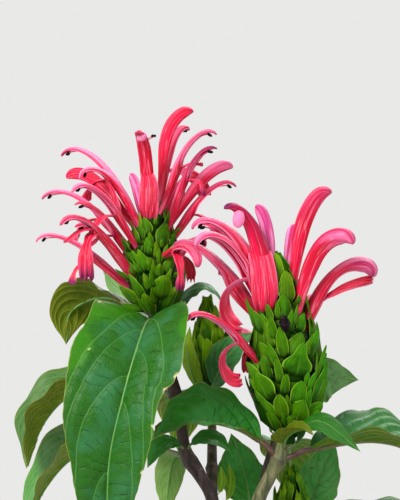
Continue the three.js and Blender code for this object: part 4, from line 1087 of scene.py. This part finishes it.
# Petals: half widths and half depths at shares of the length
OPEN_WIDTH = [[0, 1.3], [0.25, 1.6], [0.48, 2.8], [0.75, 3], [0.93, 2.4], [1, 1.2]]
OPEN_DEPTH = [[0, 1.3], [0.25, 1.6], [0.48, 2.3], [0.6, 1.9], [0.93, 1.4], [1, 0.8]]
BUD_WIDTH = [[0, 1.3], [0.22, 1.45], [0.42, 2.0], [0.58, 2.6], [0.8, 2.9], [0.95, 2.8], [1, 2.2]]
BUD_DEPTH = [[0, 1.3], [0.22, 1.55], [0.42, 2.2], [0.58, 3.2], [0.78, 3.5], [0.94, 3.2], [1, 2.3]]
KNOB_START = 0.75
PETAL_THICKNESS = 0.45
LIP_THICKNESS = 0.5
PATTERN_LENGTH = 40
BUD_SIDES = 28
BUD_ROWS = 40
BUD_TIP = 0.92
BUD_TIP_ROWS = 11
TUBE_SIDES = 20
TUBE_ROWS = 46
HOOD_GAP = 66
KNOB_GAP = 8
FLAP_GAP = -12
LIP_COLUMNS = 18
LIP_ROWS = 34
FILAMENT_RADIUS = 0.28
ANTHER_LENGTH = 3
ANTHER_WIDTH = 1.5


class Head:
    """The frame of a flower head and the cone that its bracts cover."""

    def __init__(self, spec):
        self.foot = seen(spec["base"])
        axis = seen(spec["top"]) - self.foot
        self.length = np.linalg.norm(axis)
        self.up = axis / self.length
        self.right = unit(np.array([1.0, 0, 0]) - self.up * self.up[0])
        self.back = np.cross(self.up, self.right)
        self.widest = spec["radius"]

    def out(self, azimuth):
        a = np.radians(np.asarray(azimuth, float))[..., None]
        return self.right * np.cos(a) + self.back * np.sin(a)

    def at(self, radius, azimuth, height):
        radius, height = np.asarray(radius)[..., None], np.asarray(height)[..., None]
        return self.foot + self.out(azimuth) * radius + self.up * height

    def radius(self, height):
        share = np.clip(height / self.length, 0.001, 0.97)
        return np.maximum(self.widest * np.sin(math.pi * share**0.65) ** 0.7, 2.6)

    def on_front(self, column, row):
        """The azimuth, height and radius of the cone's front where the front view has this pixel."""
        rel = seen([column, row, self.foot[1] - 0.6 * self.widest]) - self.foot
        aside, high = rel @ self.right, rel @ self.up
        radius = max(float(self.radius(high)), abs(aside) / 0.97)
        return 360 - math.degrees(math.acos(aside / radius)), high, radius


class Bend:
    """A path in the upright plane of one azimuth, with its elevation in degrees at each of its shares."""

    STEPS = 60
    SHARES = np.arange(STEPS + 1) / STEPS

    def __init__(self, start, out, up, length, elevation):
        e = np.radians(elevation)[:, None]
        self.tangent = out * np.cos(e) + up * np.sin(e)
        self.upper = -out * np.sin(e) + up * np.cos(e)
        self.across = np.cross(up, out)
        hops = self.tangent[:-1] * length / self.STEPS
        self.centre = np.vstack([start, start + np.cumsum(hops, axis=0)])

    def at(self, s):
        def read(table):
            return np.stack([np.interp(s, self.SHARES, c) for c in table.T], -1)

        return read(self.centre), unit(read(self.tangent)), unit(read(self.upper))


def climb(flower, s):
    """A flower's elevation: nearly straight, hooked at the tip and steeper where it leaves the bracts."""
    straight = flower["rise"] - flower["bend"] * (0.15 * s + 0.85 * s**5)
    hook = flower["hook"] * (0.4 if flower["bud"] else 1) * smooth(s, 0.86, 1.04)
    return straight - hook - EMERGE_DROP * np.exp(-s * flower["length"] / EMERGE_LENGTH)


def petal_look(s, flower, top, tip):
    """Tint, purple, pale and magenta over a petal. `top` tells how far each point faces up: where it faces
    up the petal is painted paler and pinker, partly its own colour and partly painted light and sheen from
    above, and where it faces down it is less pink, as painted shade.
    """
    s = s[:, None]
    up = smooth(top, -0.5, 0.8)
    purple = flower["purple"] * smooth(s, 0.45, 0.85) * (0.3 + 0.6 * up) + tip * smooth(s, 0.93, 1)
    pale = flower["pale"] * smooth(s, 0.15, 0.6) * smooth(top, -0.25, 0.9)
    pale = np.maximum(pale, 0.4 * (1 - smooth(s, 0.05, 0.4)))
    tipped = flower["tipped"] * smooth(s + 0.12 * up, 0.72, 0.95)
    return stacked(flower["tint"] - 0.5 * (1 - up), purple, pale, np.maximum(flower["magenta"], tipped))


def petal_surface(s, v, length, shift):
    return stacked(s[:, None] * length / PATTERN_LENGTH + shift, v)


def closed_bud(shape, flower, path):
    """A closed corolla: a ridged club, swollen and nodding at its tip."""
    tip = BUD_TIP + (1 - BUD_TIP) * np.sin(np.linspace(0, 0.5, BUD_TIP_ROWS) * math.pi)
    s = np.concatenate([np.linspace(0, BUD_TIP, BUD_ROWS, endpoint=False), tip])
    centre, tangent, upper = path.at(s)
    angle = np.linspace(0, 2 * math.pi, BUD_SIDES + 1)
    close = np.sqrt(np.clip(1 - ((s - BUD_TIP) / 0.083).clip(0, 1) ** 2, 0.04, 1))
    width, depth = (flower["girth"] * along(table, s) * close for table in (BUD_WIDTH, BUD_DEPTH))
    groove = 0.5 + 0.5 * np.cos(5 * angle + 0.9 + 1.4 * s[:, None] * flower["twist"])
    seam = np.exp(-(((np.abs(angle / math.pi - 1) - 0.42) / 0.06) ** 2))
    folds = 0.12 * groove * smooth(s, 0.08, 0.3)[:, None] + 0.12 * seam * smooth(s, 0.4, 0.6)[:, None]
    size = 1 - folds + 0.09 * ripple(s[:, None] * 14, 2 * np.sin(angle), flower["seed"])
    ring = path.across * (np.cos(angle) * width[:, None])[..., None]
    ring = ring + upper[:, None] * (np.sin(angle) * depth[:, None])[..., None]
    points = centre[:, None] + ring * size[..., None]
    surface = petal_surface(s, angle / (2 * math.pi), flower["length"], flower["shift"])
    look = petal_look(s, flower, np.sin(angle)[None], 0.15)
    end = centre[-1] + tangent[-1] * 0.4
    shape.grid(capped(points, centre[0], end), with_ends(surface), look=with_ends(look))


def upper_lip(shape, flower, path, split):
    """The corolla's tube, which opens below into a hooded upper lip."""
    s = 1 - (1 - np.linspace(0, 1, TUBE_ROWS)) ** 1.25
    centre, _, upper = path.at(s)
    girth = flower["girth"] * along([[KNOB_START, 1], [1, flower["knob"]]], s)
    width, depth = girth * along(OPEN_WIDTH, s), girth * along(OPEN_DEPTH, s)
    depth = depth * (1 + (flower["stout"] - 1) * smooth(s, 0.2, 0.4) * (1 - smooth(s, 0.62, 0.88)))
    tip = np.sqrt(np.clip(1 - ((s - 0.93) / 0.08).clip(0, 1) ** 2, 0.05, 1))[:, None]
    folded = "flap" in flower
    gap = KNOB_GAP if flower["knob"] > 1 else FLAP_GAP if folded else HOOD_GAP
    half_angle = np.radians(178 - gap * smooth(s, split - 0.05, split + 0.14) - 10 * smooth(s, 0.8, 1))
    turn = np.linspace(-1, 1, TUBE_SIDES + 1)
    angle = turn * half_angle[:, None]
    folds = 0.26 * np.cos(3.5 * math.pi * turn + flower["twist"]) * smooth(s, 0.12, 0.35)[:, None]
    folds = folds + 0.22 * ripple(s[:, None] * 15, turn * 3, flower["seed"]) * smooth(s, 0.1, 0.4)[:, None]
    rim = 0.5 * smooth(np.abs(turn), 0.84, 1) * smooth(s, split, split + 0.2)[:, None]

    def wall(inset):
        wide = (width[:, None] + folds + rim) * tip - inset
        deep = (depth[:, None] + folds) * tip - inset
        ring = path.across * (np.sin(angle) * wide)[..., None]
        ring = ring + upper[:, None] * (np.cos(angle) * deep)[..., None]
        return centre[:, None] + ring

    outer, inner = wall(0), wall(PETAL_THICKNESS)
    inner[0] = outer[0] = centre[0]
    outer[-1] = inner[-1] = (outer[-1] + inner[-1]) / 2
    ring = np.concatenate([outer, inner[:, ::-1], outer[:, :1]], 1)
    v = np.concatenate([turn, turn[::-1], turn[:1]])
    surface = petal_surface(s, v * 0.5, flower["length"], flower["shift"])
    # The inner face counts as facing down, so it gets no paleness and less pink: painted shade inside the
    # tube.
    top = np.concatenate([np.cos(angle), 0 * angle - 0.5, np.cos(angle[:, :1])], 1)
    look = petal_look(s, flower, top, 0.3)
    edge = smooth(np.abs(v), 0.82, 1) * smooth(s, split, split + 0.1)[:, None]
    look[..., 2] = np.maximum(look[..., 2], (0.2 if folded else 0.75) * edge)
    shape.grid(ring, surface, look=look)


def lower_lip(shape, head, flower, path, lip):
    """The corolla's lower lip: a ribbed strap with three lobes at its end, which hangs and curls."""
    mouth, _, upper = path.at(lip["at"])
    girth = flower["girth"]
    start = mouth - upper * 0.6 * girth
    fall = climb(flower, lip["at"]) - lip["reflex"] - lip["curl"] * Bend.SHARES
    course = Bend(start, head.out(lip["az"]), head.up, lip["length"], fall)
    s = np.linspace(0, 1, LIP_ROWS)
    row = s[:, None]
    v = np.linspace(-1, 1, LIP_COLUMNS + 1)
    ragged = 0.07 * ripple(v * 12, 0, flower["seed"] + 1)
    notch = 0.1 * lip["ribs"]
    lobes = np.minimum(1, 1 - notch + notch * np.abs(np.cos(1.5 * math.pi * v)) ** 0.6 + ragged)
    centre, tangent, face = course.at(row * lobes)
    angle = np.broadcast_to(np.radians(lip["twist"]) * row * (2 - row), tangent.shape[:2])
    across = turned(course.across + 0 * tangent, tangent, angle)
    face = turned(face, tangent, angle)
    half = lip["half"] * along(lip["shape"], s)
    half = half * (1 - 0.45 * lip["pinch"] * np.exp(-(((s - 0.45) / 0.14) ** 2)))
    half = (half * (1 + 0.6 * lip["ball"] * smooth(s, 0.8, 0.95)))[:, None]
    broad = min(1, lip["half"] / 4)
    late = smooth(row, 0.7, 1)
    gutter = 1.1 * lip["gutter"] * (1 - smooth(row, 0, 0.45)) * v**2 * girth
    ribs = 0.36 * lip["ribs"] * np.cos(3 * math.pi * v) * smooth(row, 0.02, 0.3) * (1 - 0.4 * row)
    frill = 1.3 * broad * late * np.sin(9 * v + 5 * row + flower["shift"]) * (0.4 + v**2)
    pucker = 0.5 * broad * ripple(row * 13, v * 5, flower["seed"] + 2) * smooth(row, 0.1, 0.5)
    curled = 0.2 * half * v**2 * smooth(row, 0.3, 0.8)
    high = gutter + ribs + frill + pucker - curled
    wide = half * (v + 0.05 * ripple(row * 9, np.sign(v), flower["seed"] + 3))
    body = centre + across * wide[..., None] + face * high[..., None]
    ends = np.minimum(1, np.minimum(row * 14, (1 - row) * 22))
    thick = (LIP_THICKNESS / 2 * (1 - np.abs(v) ** 5) * ends)[..., None] * face
    surface = petal_surface(s, v * 0.5, lip["length"], flower["shift"] + 3)
    crest = 0.5 + 0.5 * np.cos(3 * math.pi * v)
    dark = lip["dark"] * late + lip["ball"] * smooth(row, 0.82, 0.95) + 0.25 * smooth(row, 0.95, 1)
    pale = 0.12 * crest * smooth(row, 0.1, 0.4) + 0.3 * smooth(np.abs(v), 0.8, 1)
    pale = np.minimum(pale + lip["pale"] * (1 - smooth(row, 0.1, 0.6)), 0.75)
    tint = flower["tint"] - 0.35 * smooth(row, 0.3, 0.8)
    look = stacked(tint, np.clip(dark, 0, 1) * 0.85, pale, 0)
    for sign in (1, -1):
        shape.grid(body + sign * thick, surface, look=look)


def stamens(filaments, anthers, flower, path, split):
    """Two filaments below the upper lip, each with a dark anther near the lip's tip."""
    s = np.linspace(split, 0.94, 22)
    centre, tangent, upper = path.at(s)
    girth = flower["girth"]
    hang = (0.3 + 0.9 * smooth(s, 0.8, 0.94)) * girth
    for sign in (-1, 1):
        aside = sign * 0.55 * girth + flower["aside"] * smooth(s, 0.78, 0.94)
        line = centre - upper * hang[:, None] + path.across * aside[:, None]
        side = np.broadcast_to(path.across, line.shape)
        tube(filaments, line, side, upper, np.full((len(line), 1), FILAMENT_RADIUS), 6, run=s)
        t = np.linspace(0, math.pi, 9)
        way = unit(tangent[-1] - 0.35 * upper[-1] + 0.25 * sign * path.across)
        body = line[-1] - upper[-1] * 0.2 + way * (-np.cos(t) * ANTHER_LENGTH / 2)[:, None]
        notch = 1 - 0.25 * np.abs(np.cos(np.linspace(0, 2 * math.pi, 13)))
        one, two = squared(np.broadcast_to(way, body.shape), np.broadcast_to(path.across, body.shape))
        tube(anthers, body, one, two, (np.sin(t)[:, None] * ANTHER_WIDTH / 2 + 0.01) * notch, 12)


def flap(shape, flower, path):
    """A lobe of the upper lip's rim that is turned out towards the front, with its size in pixels."""
    column, row, width, height = flower["flap"]
    depth = path.at(0.85)[0][1] - 4
    centre = seen([column, row, depth])
    t, v = np.linspace(-1, 1, 13)[:, None], np.linspace(-1, 1, 13)
    oval = np.sqrt(np.clip(1 - t**2, 0, 1))
    x = 0.5 * MM_PER_PIXEL * width * v * oval
    z = 0.5 * MM_PER_PIXEL * height * t + 0.5 * v * (1 - t**2)
    bulge = -1.3 * (1 - t**2) * (1 - v**2) + 0.25 * ripple(3 * t, 3 * v, flower["seed"])
    for thick in (0.2, -0.2):
        bow = bulge + thick * (1 - v**4) * (1 - t**8)
        shape.grid(centre + stacked(x, bow, z), stacked(t, v), look=(0, 0, 0.78, 0))


def bract(shape, head, foot, tip, half, kind):
    """A scale that leans out over the cone, between a foot and a tip given as azimuth, height and radius."""
    rows, columns = (8, 4) if kind["hidden"] else (14, 8)
    t = np.linspace(0, 1, rows + 1)
    v = np.linspace(-1, 1, columns + 1)
    tilt, high, reach = (low + (top - low) * t for low, top in zip(foot, tip))
    out = np.maximum(head.radius(high), reach) * (0.6 + 0.4 * smooth(t, 0, 0.28))
    out = out + kind["lift"] * smooth(t, 0, 0.4) + kind["flare"] * smooth(t, 0.4, 1.1)
    middle = head.at(out, tilt, high)
    way = unit(np.gradient(middle, axis=0))
    side = unit(np.cross(way, head.out(tilt)))
    face = np.cross(side, way)
    oval = np.sin(math.pi * (0.07 + 0.925 * t**1.05)).clip(0) ** kind["point"]
    oval = along(kind["outline"], t) if "outline" in kind else oval
    wide = (half * oval * (1 + 0.05 * np.sin(9 * t + tip[0])))[:, None]
    cup = kind["cup"] * wide * v**2 * (1 - 0.6 * smooth(t, 0.55, 1))[:, None]
    keel = 0.3 * np.exp(-((v / 0.16) ** 2)) * smooth(t, 0.1, 0.4)[:, None]
    waves = np.sin(7 * t[:, None] + 2.5 * v + tip[0]) * oval[:, None]
    rise = keel - cup + kind["wavy"] * v**2 * waves + kind["roll"] * v * wide
    body = middle[:, None] + side[:, None] * (wide * v)[..., None] + face[:, None] * rise[..., None]
    ends = np.minimum(1, np.minimum(t * 8, (1 - t) * 10))[:, None]
    thick = (BRACT_THICKNESS / 2 * (1 - np.abs(v) ** 4) * ends)[..., None] * face[:, None]
    # Painted shade from the foot up, for the shade under the bracts that overlap it.
    deep = np.clip(kind["deep"] - 2.2 * t, 0, 1)[:, None]
    look = stacked(kind["tint"], kind["yellow"], deep + 0 * v, kind["fresh_and_backlit"])
    for sign in (1, -1):
        shape.grid(body + sign * thick, stacked(t[:, None], v), look=look)


def drawn_kind(ranges, spec, fresh_and_backlit):
    """How one bract is bent and coloured. The last argument is the share of its head's brighter green that it
    gets, a painted backlight on the head's right side.
    """
    kind = {key: draw.uniform(*limits) for key, limits in ranges.items()}
    kind["tint"] += spec["light"]
    kind["fresh_and_backlit"] += spec["fresh_and_backlit"] * fresh_and_backlit
    return {**BRACT, **kind, "point": spec["point"]}


def front_bracts(shape, head, spec, rows):
    """The bracts that the front view shows one by one."""
    for *ends, width, extra in ([*row, {}][:6] for row in rows):
        tip, foot = head.on_front(*ends[:2]), head.on_front(*ends[2:])
        kind = drawn_kind(FRONT_RANGES, spec, smooth(ends[0], *BACKLIT_COLUMNS))
        bract(shape, head, foot, tip, width * MM_PER_PIXEL / 2, {**kind, **extra})


def make_core(shape, head, spec):
    """The axis inside a cone."""
    share = np.array([-0.02, 0.02, 0.08, 0.3, 0.6, 0.86])
    radius = (3.4 + 0.42 * head.radius(share * head.length)) * (1 - 0.5 * share)
    radius[:2] = spec["core"]
    centre = head.foot + head.up * (share * head.length)[:, None]
    side, back = (np.broadcast_to(way, centre.shape) for way in (head.right, head.back))
    # The core is painted all in the shade colour.
    tube(shape, centre, side, back, radius[:, None], look=(0, 0, 1, 0))


def make_cone(name, spec, head, green):
    """A cone of broad bracts with a narrow one beside each. Where the front view shows its bracts one by
    one, those before them lie deeper and are painted dark all over as shade."""
    shape = Shape(green)
    make_core(shape, head, spec)
    count = round(BRACTS_FOR_ONE * spec["bracts"])
    for k in range(count):
        share = LAST_BRACT * (k / count) ** 1.05
        azimuth = (k * GOLDEN_ANGLE + draw.uniform(-9, 9)) % 360
        covered = name in FRONT_BRACTS and spec["shown"] < azimuth < 345
        for narrow in (False, True):
            height = (share + 0.03 * narrow) * head.length
            long = spec["length"] * (1.05 - 0.45 * share) * draw.uniform(0.85, 1.15)
            long = min(long, draw.uniform(0.86, 1.02) * head.length - height)
            half = spec["width"] * (1.1 - 0.4 * share) * draw.uniform(0.6, 0.85) / 2
            turn = azimuth + narrow * draw.choice([-1, 1]) * draw.uniform(20, 34)
            right = math.cos(math.radians(turn))
            # Bracts that face right get their head's painted backlight.
            kind = drawn_kind(CONE_RANGES, spec, right > 0.3)
            lean = draw.uniform(-11, 11)
            kind["lift"] -= spec["trim"] * max(0, -right)
            kind["flare"] *= 1 - (1 - spec["spread"]) * smooth(share, 0, 0.5)
            if narrow:
                half *= 0.42
            if covered:
                # Covered bracts sink into the cone and are painted dark as shade.
                kind.update(lift=-3.4, flare=-0.6, deep=1.7, hidden=True)
            bract(shape, head, (turn, height, 0), (turn + lean, height + 0.97 * long, 0), half, kind)
    front_bracts(shape, head, spec, FRONT_BRACTS.get(name, []))
    node = name + ("_bracts" if name in FLOWERS else "")
    place(shape.piece(name + "_scales"), "bract", node)


def make_flowers(name, head, petal, thread, anther):
    petals, filaments, anthers = Shape(petal), Shape(thread), Shape(anther)
    for index, row in enumerate(FLOWERS[name]):
        marks = dict(tint=draw.uniform(-0.25, 0.15), shift=draw.uniform(0, 5), twist=draw.uniform(-1, 1))
        flower = {**FLOWER, **marks, **row, "seed": 100 + index}
        foot, out = head.at(0, flower["az"], flower["h"]), head.out(flower["az"])
        path = Bend(foot, out, head.up, flower["length"], climb(flower, Bend.SHARES))
        if flower["bud"]:
            closed_bud(petals, flower, path)
            continue
        lip = {"az": flower["az"], **LIP, **flower["lip"]}
        upper_lip(petals, flower, path, lip["at"])
        lower_lip(petals, head, flower, path, lip)
        if not flower["bare"]:
            stamens(filaments, anthers, flower, path, lip["at"])
        if "flap" in flower:
            flap(petals, flower, path)
    place(petals.piece(name + "_corollas", 70), "flower", name + "_flowers")
    place(filaments.piece(name + "_filaments"), "flower")
    place(anthers.piece(name + "_anthers"), "flower")


def make_heads():
    green, petal, thread, anther = bract_material(), petal_material(), filament_material(), anther_material()
    for name, row in HEADS.items():
        spec = {**HEAD, **row}
        head = Head(spec)
        make_cone(name, spec, head, green)
        if name in FLOWERS:
            make_flowers(name, head, petal, thread, anther)


# Pot and soil

RIM_STEP = 6
POT_FLOOR = POT_WALL + 1
SOIL_FLOOR = POT_WALL + 1.3
CRUMBS = 520
CRUMBS_FOR_A_CHIP = 17


def pot_wall(z):
    return POT_BASE_RADIUS + (POT_RIM_RADIUS - RIM_STEP - POT_BASE_RADIUS) * z / POT_HEIGHT


def soil_wall(z):
    return pot_wall(z) - POT_WALL - SOIL_GAP


def lathe(shape, profile, segments, wobble=lambda points: points):
    angle = np.linspace(0, 2 * math.pi, segments + 1)
    r, z = np.array(profile, float).T[..., None]
    shape.grid(wobble(stacked(r * np.cos(angle), r * np.sin(angle), z)))


def rounded(corners, radius=1.2, steps=4):
    """A profile with its inner corners rounded off."""
    c = np.array(corners, float)
    out = [c[0]]
    for before, here, after in zip(c, c[1:], c[2:]):
        a, b = before - here, after - here
        cut = min(radius, 0.4 * np.linalg.norm(a), 0.4 * np.linalg.norm(b))
        one, two = here + unit(a) * cut, here + unit(b) * cut
        t = np.linspace(0, 1, steps)[:, None]
        out.extend((1 - t) ** 2 * one + 2 * t * (1 - t) * here + t**2 * two)
    return np.vstack([out, c[-1:]])


def hand_made(points):
    """A pot's faint throwing rings and unevenness."""
    x, y, z = np.moveaxis(points, -1, 0)
    angle = np.arctan2(y, x)
    marks = 0.12 * np.sin(z * 1.7) + 0.1 * np.sin(z * 0.6 + angle) + 0.08 * np.sin(3 * angle + z * 0.05)
    push = marks * (np.hypot(x, y) > 30) * smooth(z, 2, 8)
    points[..., :2] *= (1 + push / POT_RIM_RADIUS)[..., None]
    return points


def drilled(pot):
    """The pot's mesh with its drain holes cut out."""
    drills = Shape()
    side, back = np.tile([1.0, 0, 0], (2, 1)), np.tile([0, 1.0, 0], (2, 1))
    for angle in np.radians(DRAIN_ANGLES):
        x, y = DRAIN_CIRCLE * math.cos(angle), DRAIN_CIRCLE * math.sin(angle)
        centre = np.array([[x, y, z] for z in (-10, 20)])
        tube(drills, centre, side, back, np.full((2, 1), DRAIN_RADIUS), 32)
    cutter = drills.piece("drills")
    cut = pot.modifiers.new("drains", "BOOLEAN")
    cut.operation = "DIFFERENCE"
    cut.solver = "EXACT"
    cut.object = cutter
    bpy.context.view_layer.update()
    mesh = bpy.data.meshes.new_from_object(pot.evaluated_get(bpy.context.evaluated_depsgraph_get()))
    pot.modifiers.clear()
    bpy.data.objects.remove(cutter)
    return mesh


def make_pot():
    rim, top, band = POT_RIM_RADIUS, POT_HEIGHT, POT_HEIGHT - RIM_BAND
    profile = [[0, 0], [POT_BASE_RADIUS - 1.5, 0], [POT_BASE_RADIUS, 1.5]]
    profile += [[pot_wall(z), z] for z in np.linspace(6, band, 24)]
    profile += [[rim - 1.5, band + 1], [rim - 0.5, band + 3], [rim, top - 3], [rim - 2, top]]
    profile += [[pot_wall(top) - POT_WALL + 2, top]]
    profile += [[pot_wall(z) - POT_WALL, z] for z in (top - 3, POT_FLOOR)]
    shape = Shape(clay_material())
    lathe(shape, rounded([*profile, [0, POT_FLOOR]]), 144, hand_made)
    pot = shape.piece("pot_clay", 40)
    pot.data = drilled(pot)
    place(pot, "clay", "pot")


def lump(x, y):
    return 1.1 * np.sin(x / 5.2) * np.cos(y / 6.1) + 0.8 * np.sin((x + 1.7 * y) / 9.3)


def ground(x, y):
    """The soil's surface, with the solid's lumps and finer ones."""
    share = np.clip(np.hypot(x, y) / soil_wall(SOIL_LEVEL), 0, 1)
    layers = ((0.7, 0.5, 3), (0.5, 1.1, 5), (0.35, 2.3, 8))
    fine = sum(size * ripple(x * k, y * k, seed) for size, k, seed in layers)
    return SOIL_LEVEL + 2.5 * (1 - share**2) + lump(x, y) * (share < 0.999) + fine


def uneven(points):
    """The soil's flat top, brought to the ground's heights."""
    x, y, z = np.moveaxis(points, -1, 0)
    points[..., 2] = np.where(z >= SOIL_LEVEL, ground(x, y), z)
    return points


def crumb(shape, centre, size, seed, slot):
    """A small rough lump."""
    t = np.linspace(0, math.pi, 6)[:, None]
    a = np.linspace(0, 2 * math.pi, 9)
    pick = np.random.RandomState(seed)
    stretch = pick.uniform(0.6, 1.2, 3)
    rough = 1 + 0.25 * ripple(t * 2.5 + seed, np.sin(a) * 2 + np.cos(a), seed)
    ball = stacked(np.sin(t) * np.cos(a), np.sin(t) * np.sin(a), np.cos(t))
    shape.grid(centre + ball * rough[..., None] * stretch * size, slot=slot)


def make_soil():
    shape = Shape(soil_material(), perlite_material())
    edge = soil_wall(SOIL_LEVEL)
    profile = [[0, SOIL_FLOOR], [soil_wall(SOIL_FLOOR), SOIL_FLOOR], [soil_wall(60), 60]]
    profile += [[r, SOIL_LEVEL] for r in np.linspace(1, 0, 56) * edge]
    lathe(shape, profile, 150, uneven)
    for k in range(CRUMBS):
        r = edge * 0.97 * math.sqrt(draw.uniform(0, 1))
        a = draw.uniform(0, 2 * math.pi)
        x, y = r * math.cos(a), r * math.sin(a)
        white = k % CRUMBS_FOR_A_CHIP == 0
        size = draw.uniform(0.7, 1.5 if white else 2.3)
        crumb(shape, np.array([x, y, ground(x, y) + 0.2 * size]), size, k, int(white))
    place(shape.piece("soil_crumbs", 50), "soil", "soil")


def make_withered_bract():
    """A dry, dark flower base caught between the bracts of the right head."""
    shape = Shape(withered_material())
    foot, tip = seen([285.5, 332, -33.5]), seen([284, 316, -34.5])
    t = np.linspace(0, 1, 12)[:, None]
    turn = np.linspace(0, 2 * math.pi, 17)
    side, front = np.tile([1.0, 0, 0], (len(t), 1)), np.tile([0, 1.0, 0], (len(t), 1))
    wrinkles = 1 + 0.22 * ripple(t * 9, 2.5 * np.sin(turn), 4)
    radius = 2.5 * np.sin(math.pi * (0.04 + 0.92 * t)) ** 0.5 * wrinkles
    tube(shape, foot + (tip - foot) * t, side, front, radius)
    place(shape.piece("withered_bract"), "stem")


# Stage

AMBIENT = 0.8
LIT_POINT = (0, 0, 0.28)
SENSOR = 36
LAMPS = {
    "key": dict(spot=(-0.9, -1.2, 1.3), size=0.8, power=36.0, tint=(255, 251, 246)),
    "fill": dict(spot=(1.4, -0.9, 0.8), size=1.2, power=7.0, tint=(244, 248, 255)),
    "back": dict(spot=(0.4, 1.3, 1.3), size=1.1, power=14.0, tint=(255, 255, 255)),
}


def light_world():
    scene = bpy.context.scene
    scene.view_settings.view_transform = "Standard"
    world = bpy.data.worlds.new("studio")
    world.use_nodes = True
    sky = world.node_tree.nodes["Background"]
    sky.inputs["Color"].default_value = linear(233, 233, 232)
    dim = world.node_tree.nodes.new("ShaderNodeMapRange")
    dim.inputs["To Min"].default_value = AMBIENT
    dim.inputs["To Max"].default_value = 1.0
    seen_by = world.node_tree.nodes.new("ShaderNodeLightPath")
    world.node_tree.links.new(seen_by.outputs["Is Camera Ray"], dim.inputs["Value"])
    world.node_tree.links.new(dim.outputs[0], sky.inputs["Strength"])
    scene.world = world


def make_floor():
    floor = Graph("floor", Roughness=0.8)
    floor.shader.inputs["Base Color"].default_value = linear(226, 226, 225)
    x, y, _ = floor.parts(floor.place())
    far = floor.math("SQRT", x * x + y * y)
    solid = Output(floor, floor.shader.outputs[0])
    clear, *_ = floor.node("BsdfTransparent")
    blended, *_ = floor.node("MixShader", {0: floor.fade(far, 0.35, 1.15), 1: solid, 2: clear})
    floor.put(floor.tree.nodes["Material Output"].inputs[0], blended)
    shape = Shape(floor.material)
    lathe(shape, [[r, -0.1] for r in np.linspace(0, 1200, 24)], 96)
    disc = shape.piece("floor")


def make_lamps():
    for name, lamp in LAMPS.items():
        spot = lamp["spot"]
        light = bpy.data.lights.new(name, "AREA")
        light.shape = "DISK"
        light.size = lamp["size"]
        light.energy = lamp["power"]
        light.color = linear(*lamp["tint"])[:3]
        lit = bpy.data.objects.new(name, light)
        lit.location = spot
        x, y, z = np.array(LIT_POINT) - np.array(spot)
        lit.rotation_euler = (math.atan2(math.hypot(x, y), -z), 0, math.atan2(y, x) - math.pi / 2)
        bpy.context.scene.collection.objects.link(lit)


def make_camera():
    scene = bpy.context.scene
    lens = bpy.data.cameras.new("camera")
    lens.sensor_width = SENSOR
    lens.lens = SENSOR * EYE_DISTANCE / FRAME_HEIGHT
    eye = bpy.data.objects.new("camera", lens)
    eye.location = (0, -EYE_DISTANCE * MM, EYE_HEIGHT * MM)
    eye.rotation_euler = (math.pi / 2, 0, 0)
    scene.collection.objects.link(eye)
    scene.camera = eye


light_world()
make_floor()
make_lamps()
make_camera()
make_pot()
make_soil()
make_stems()
make_leaves()
make_heads()
make_withered_bract()
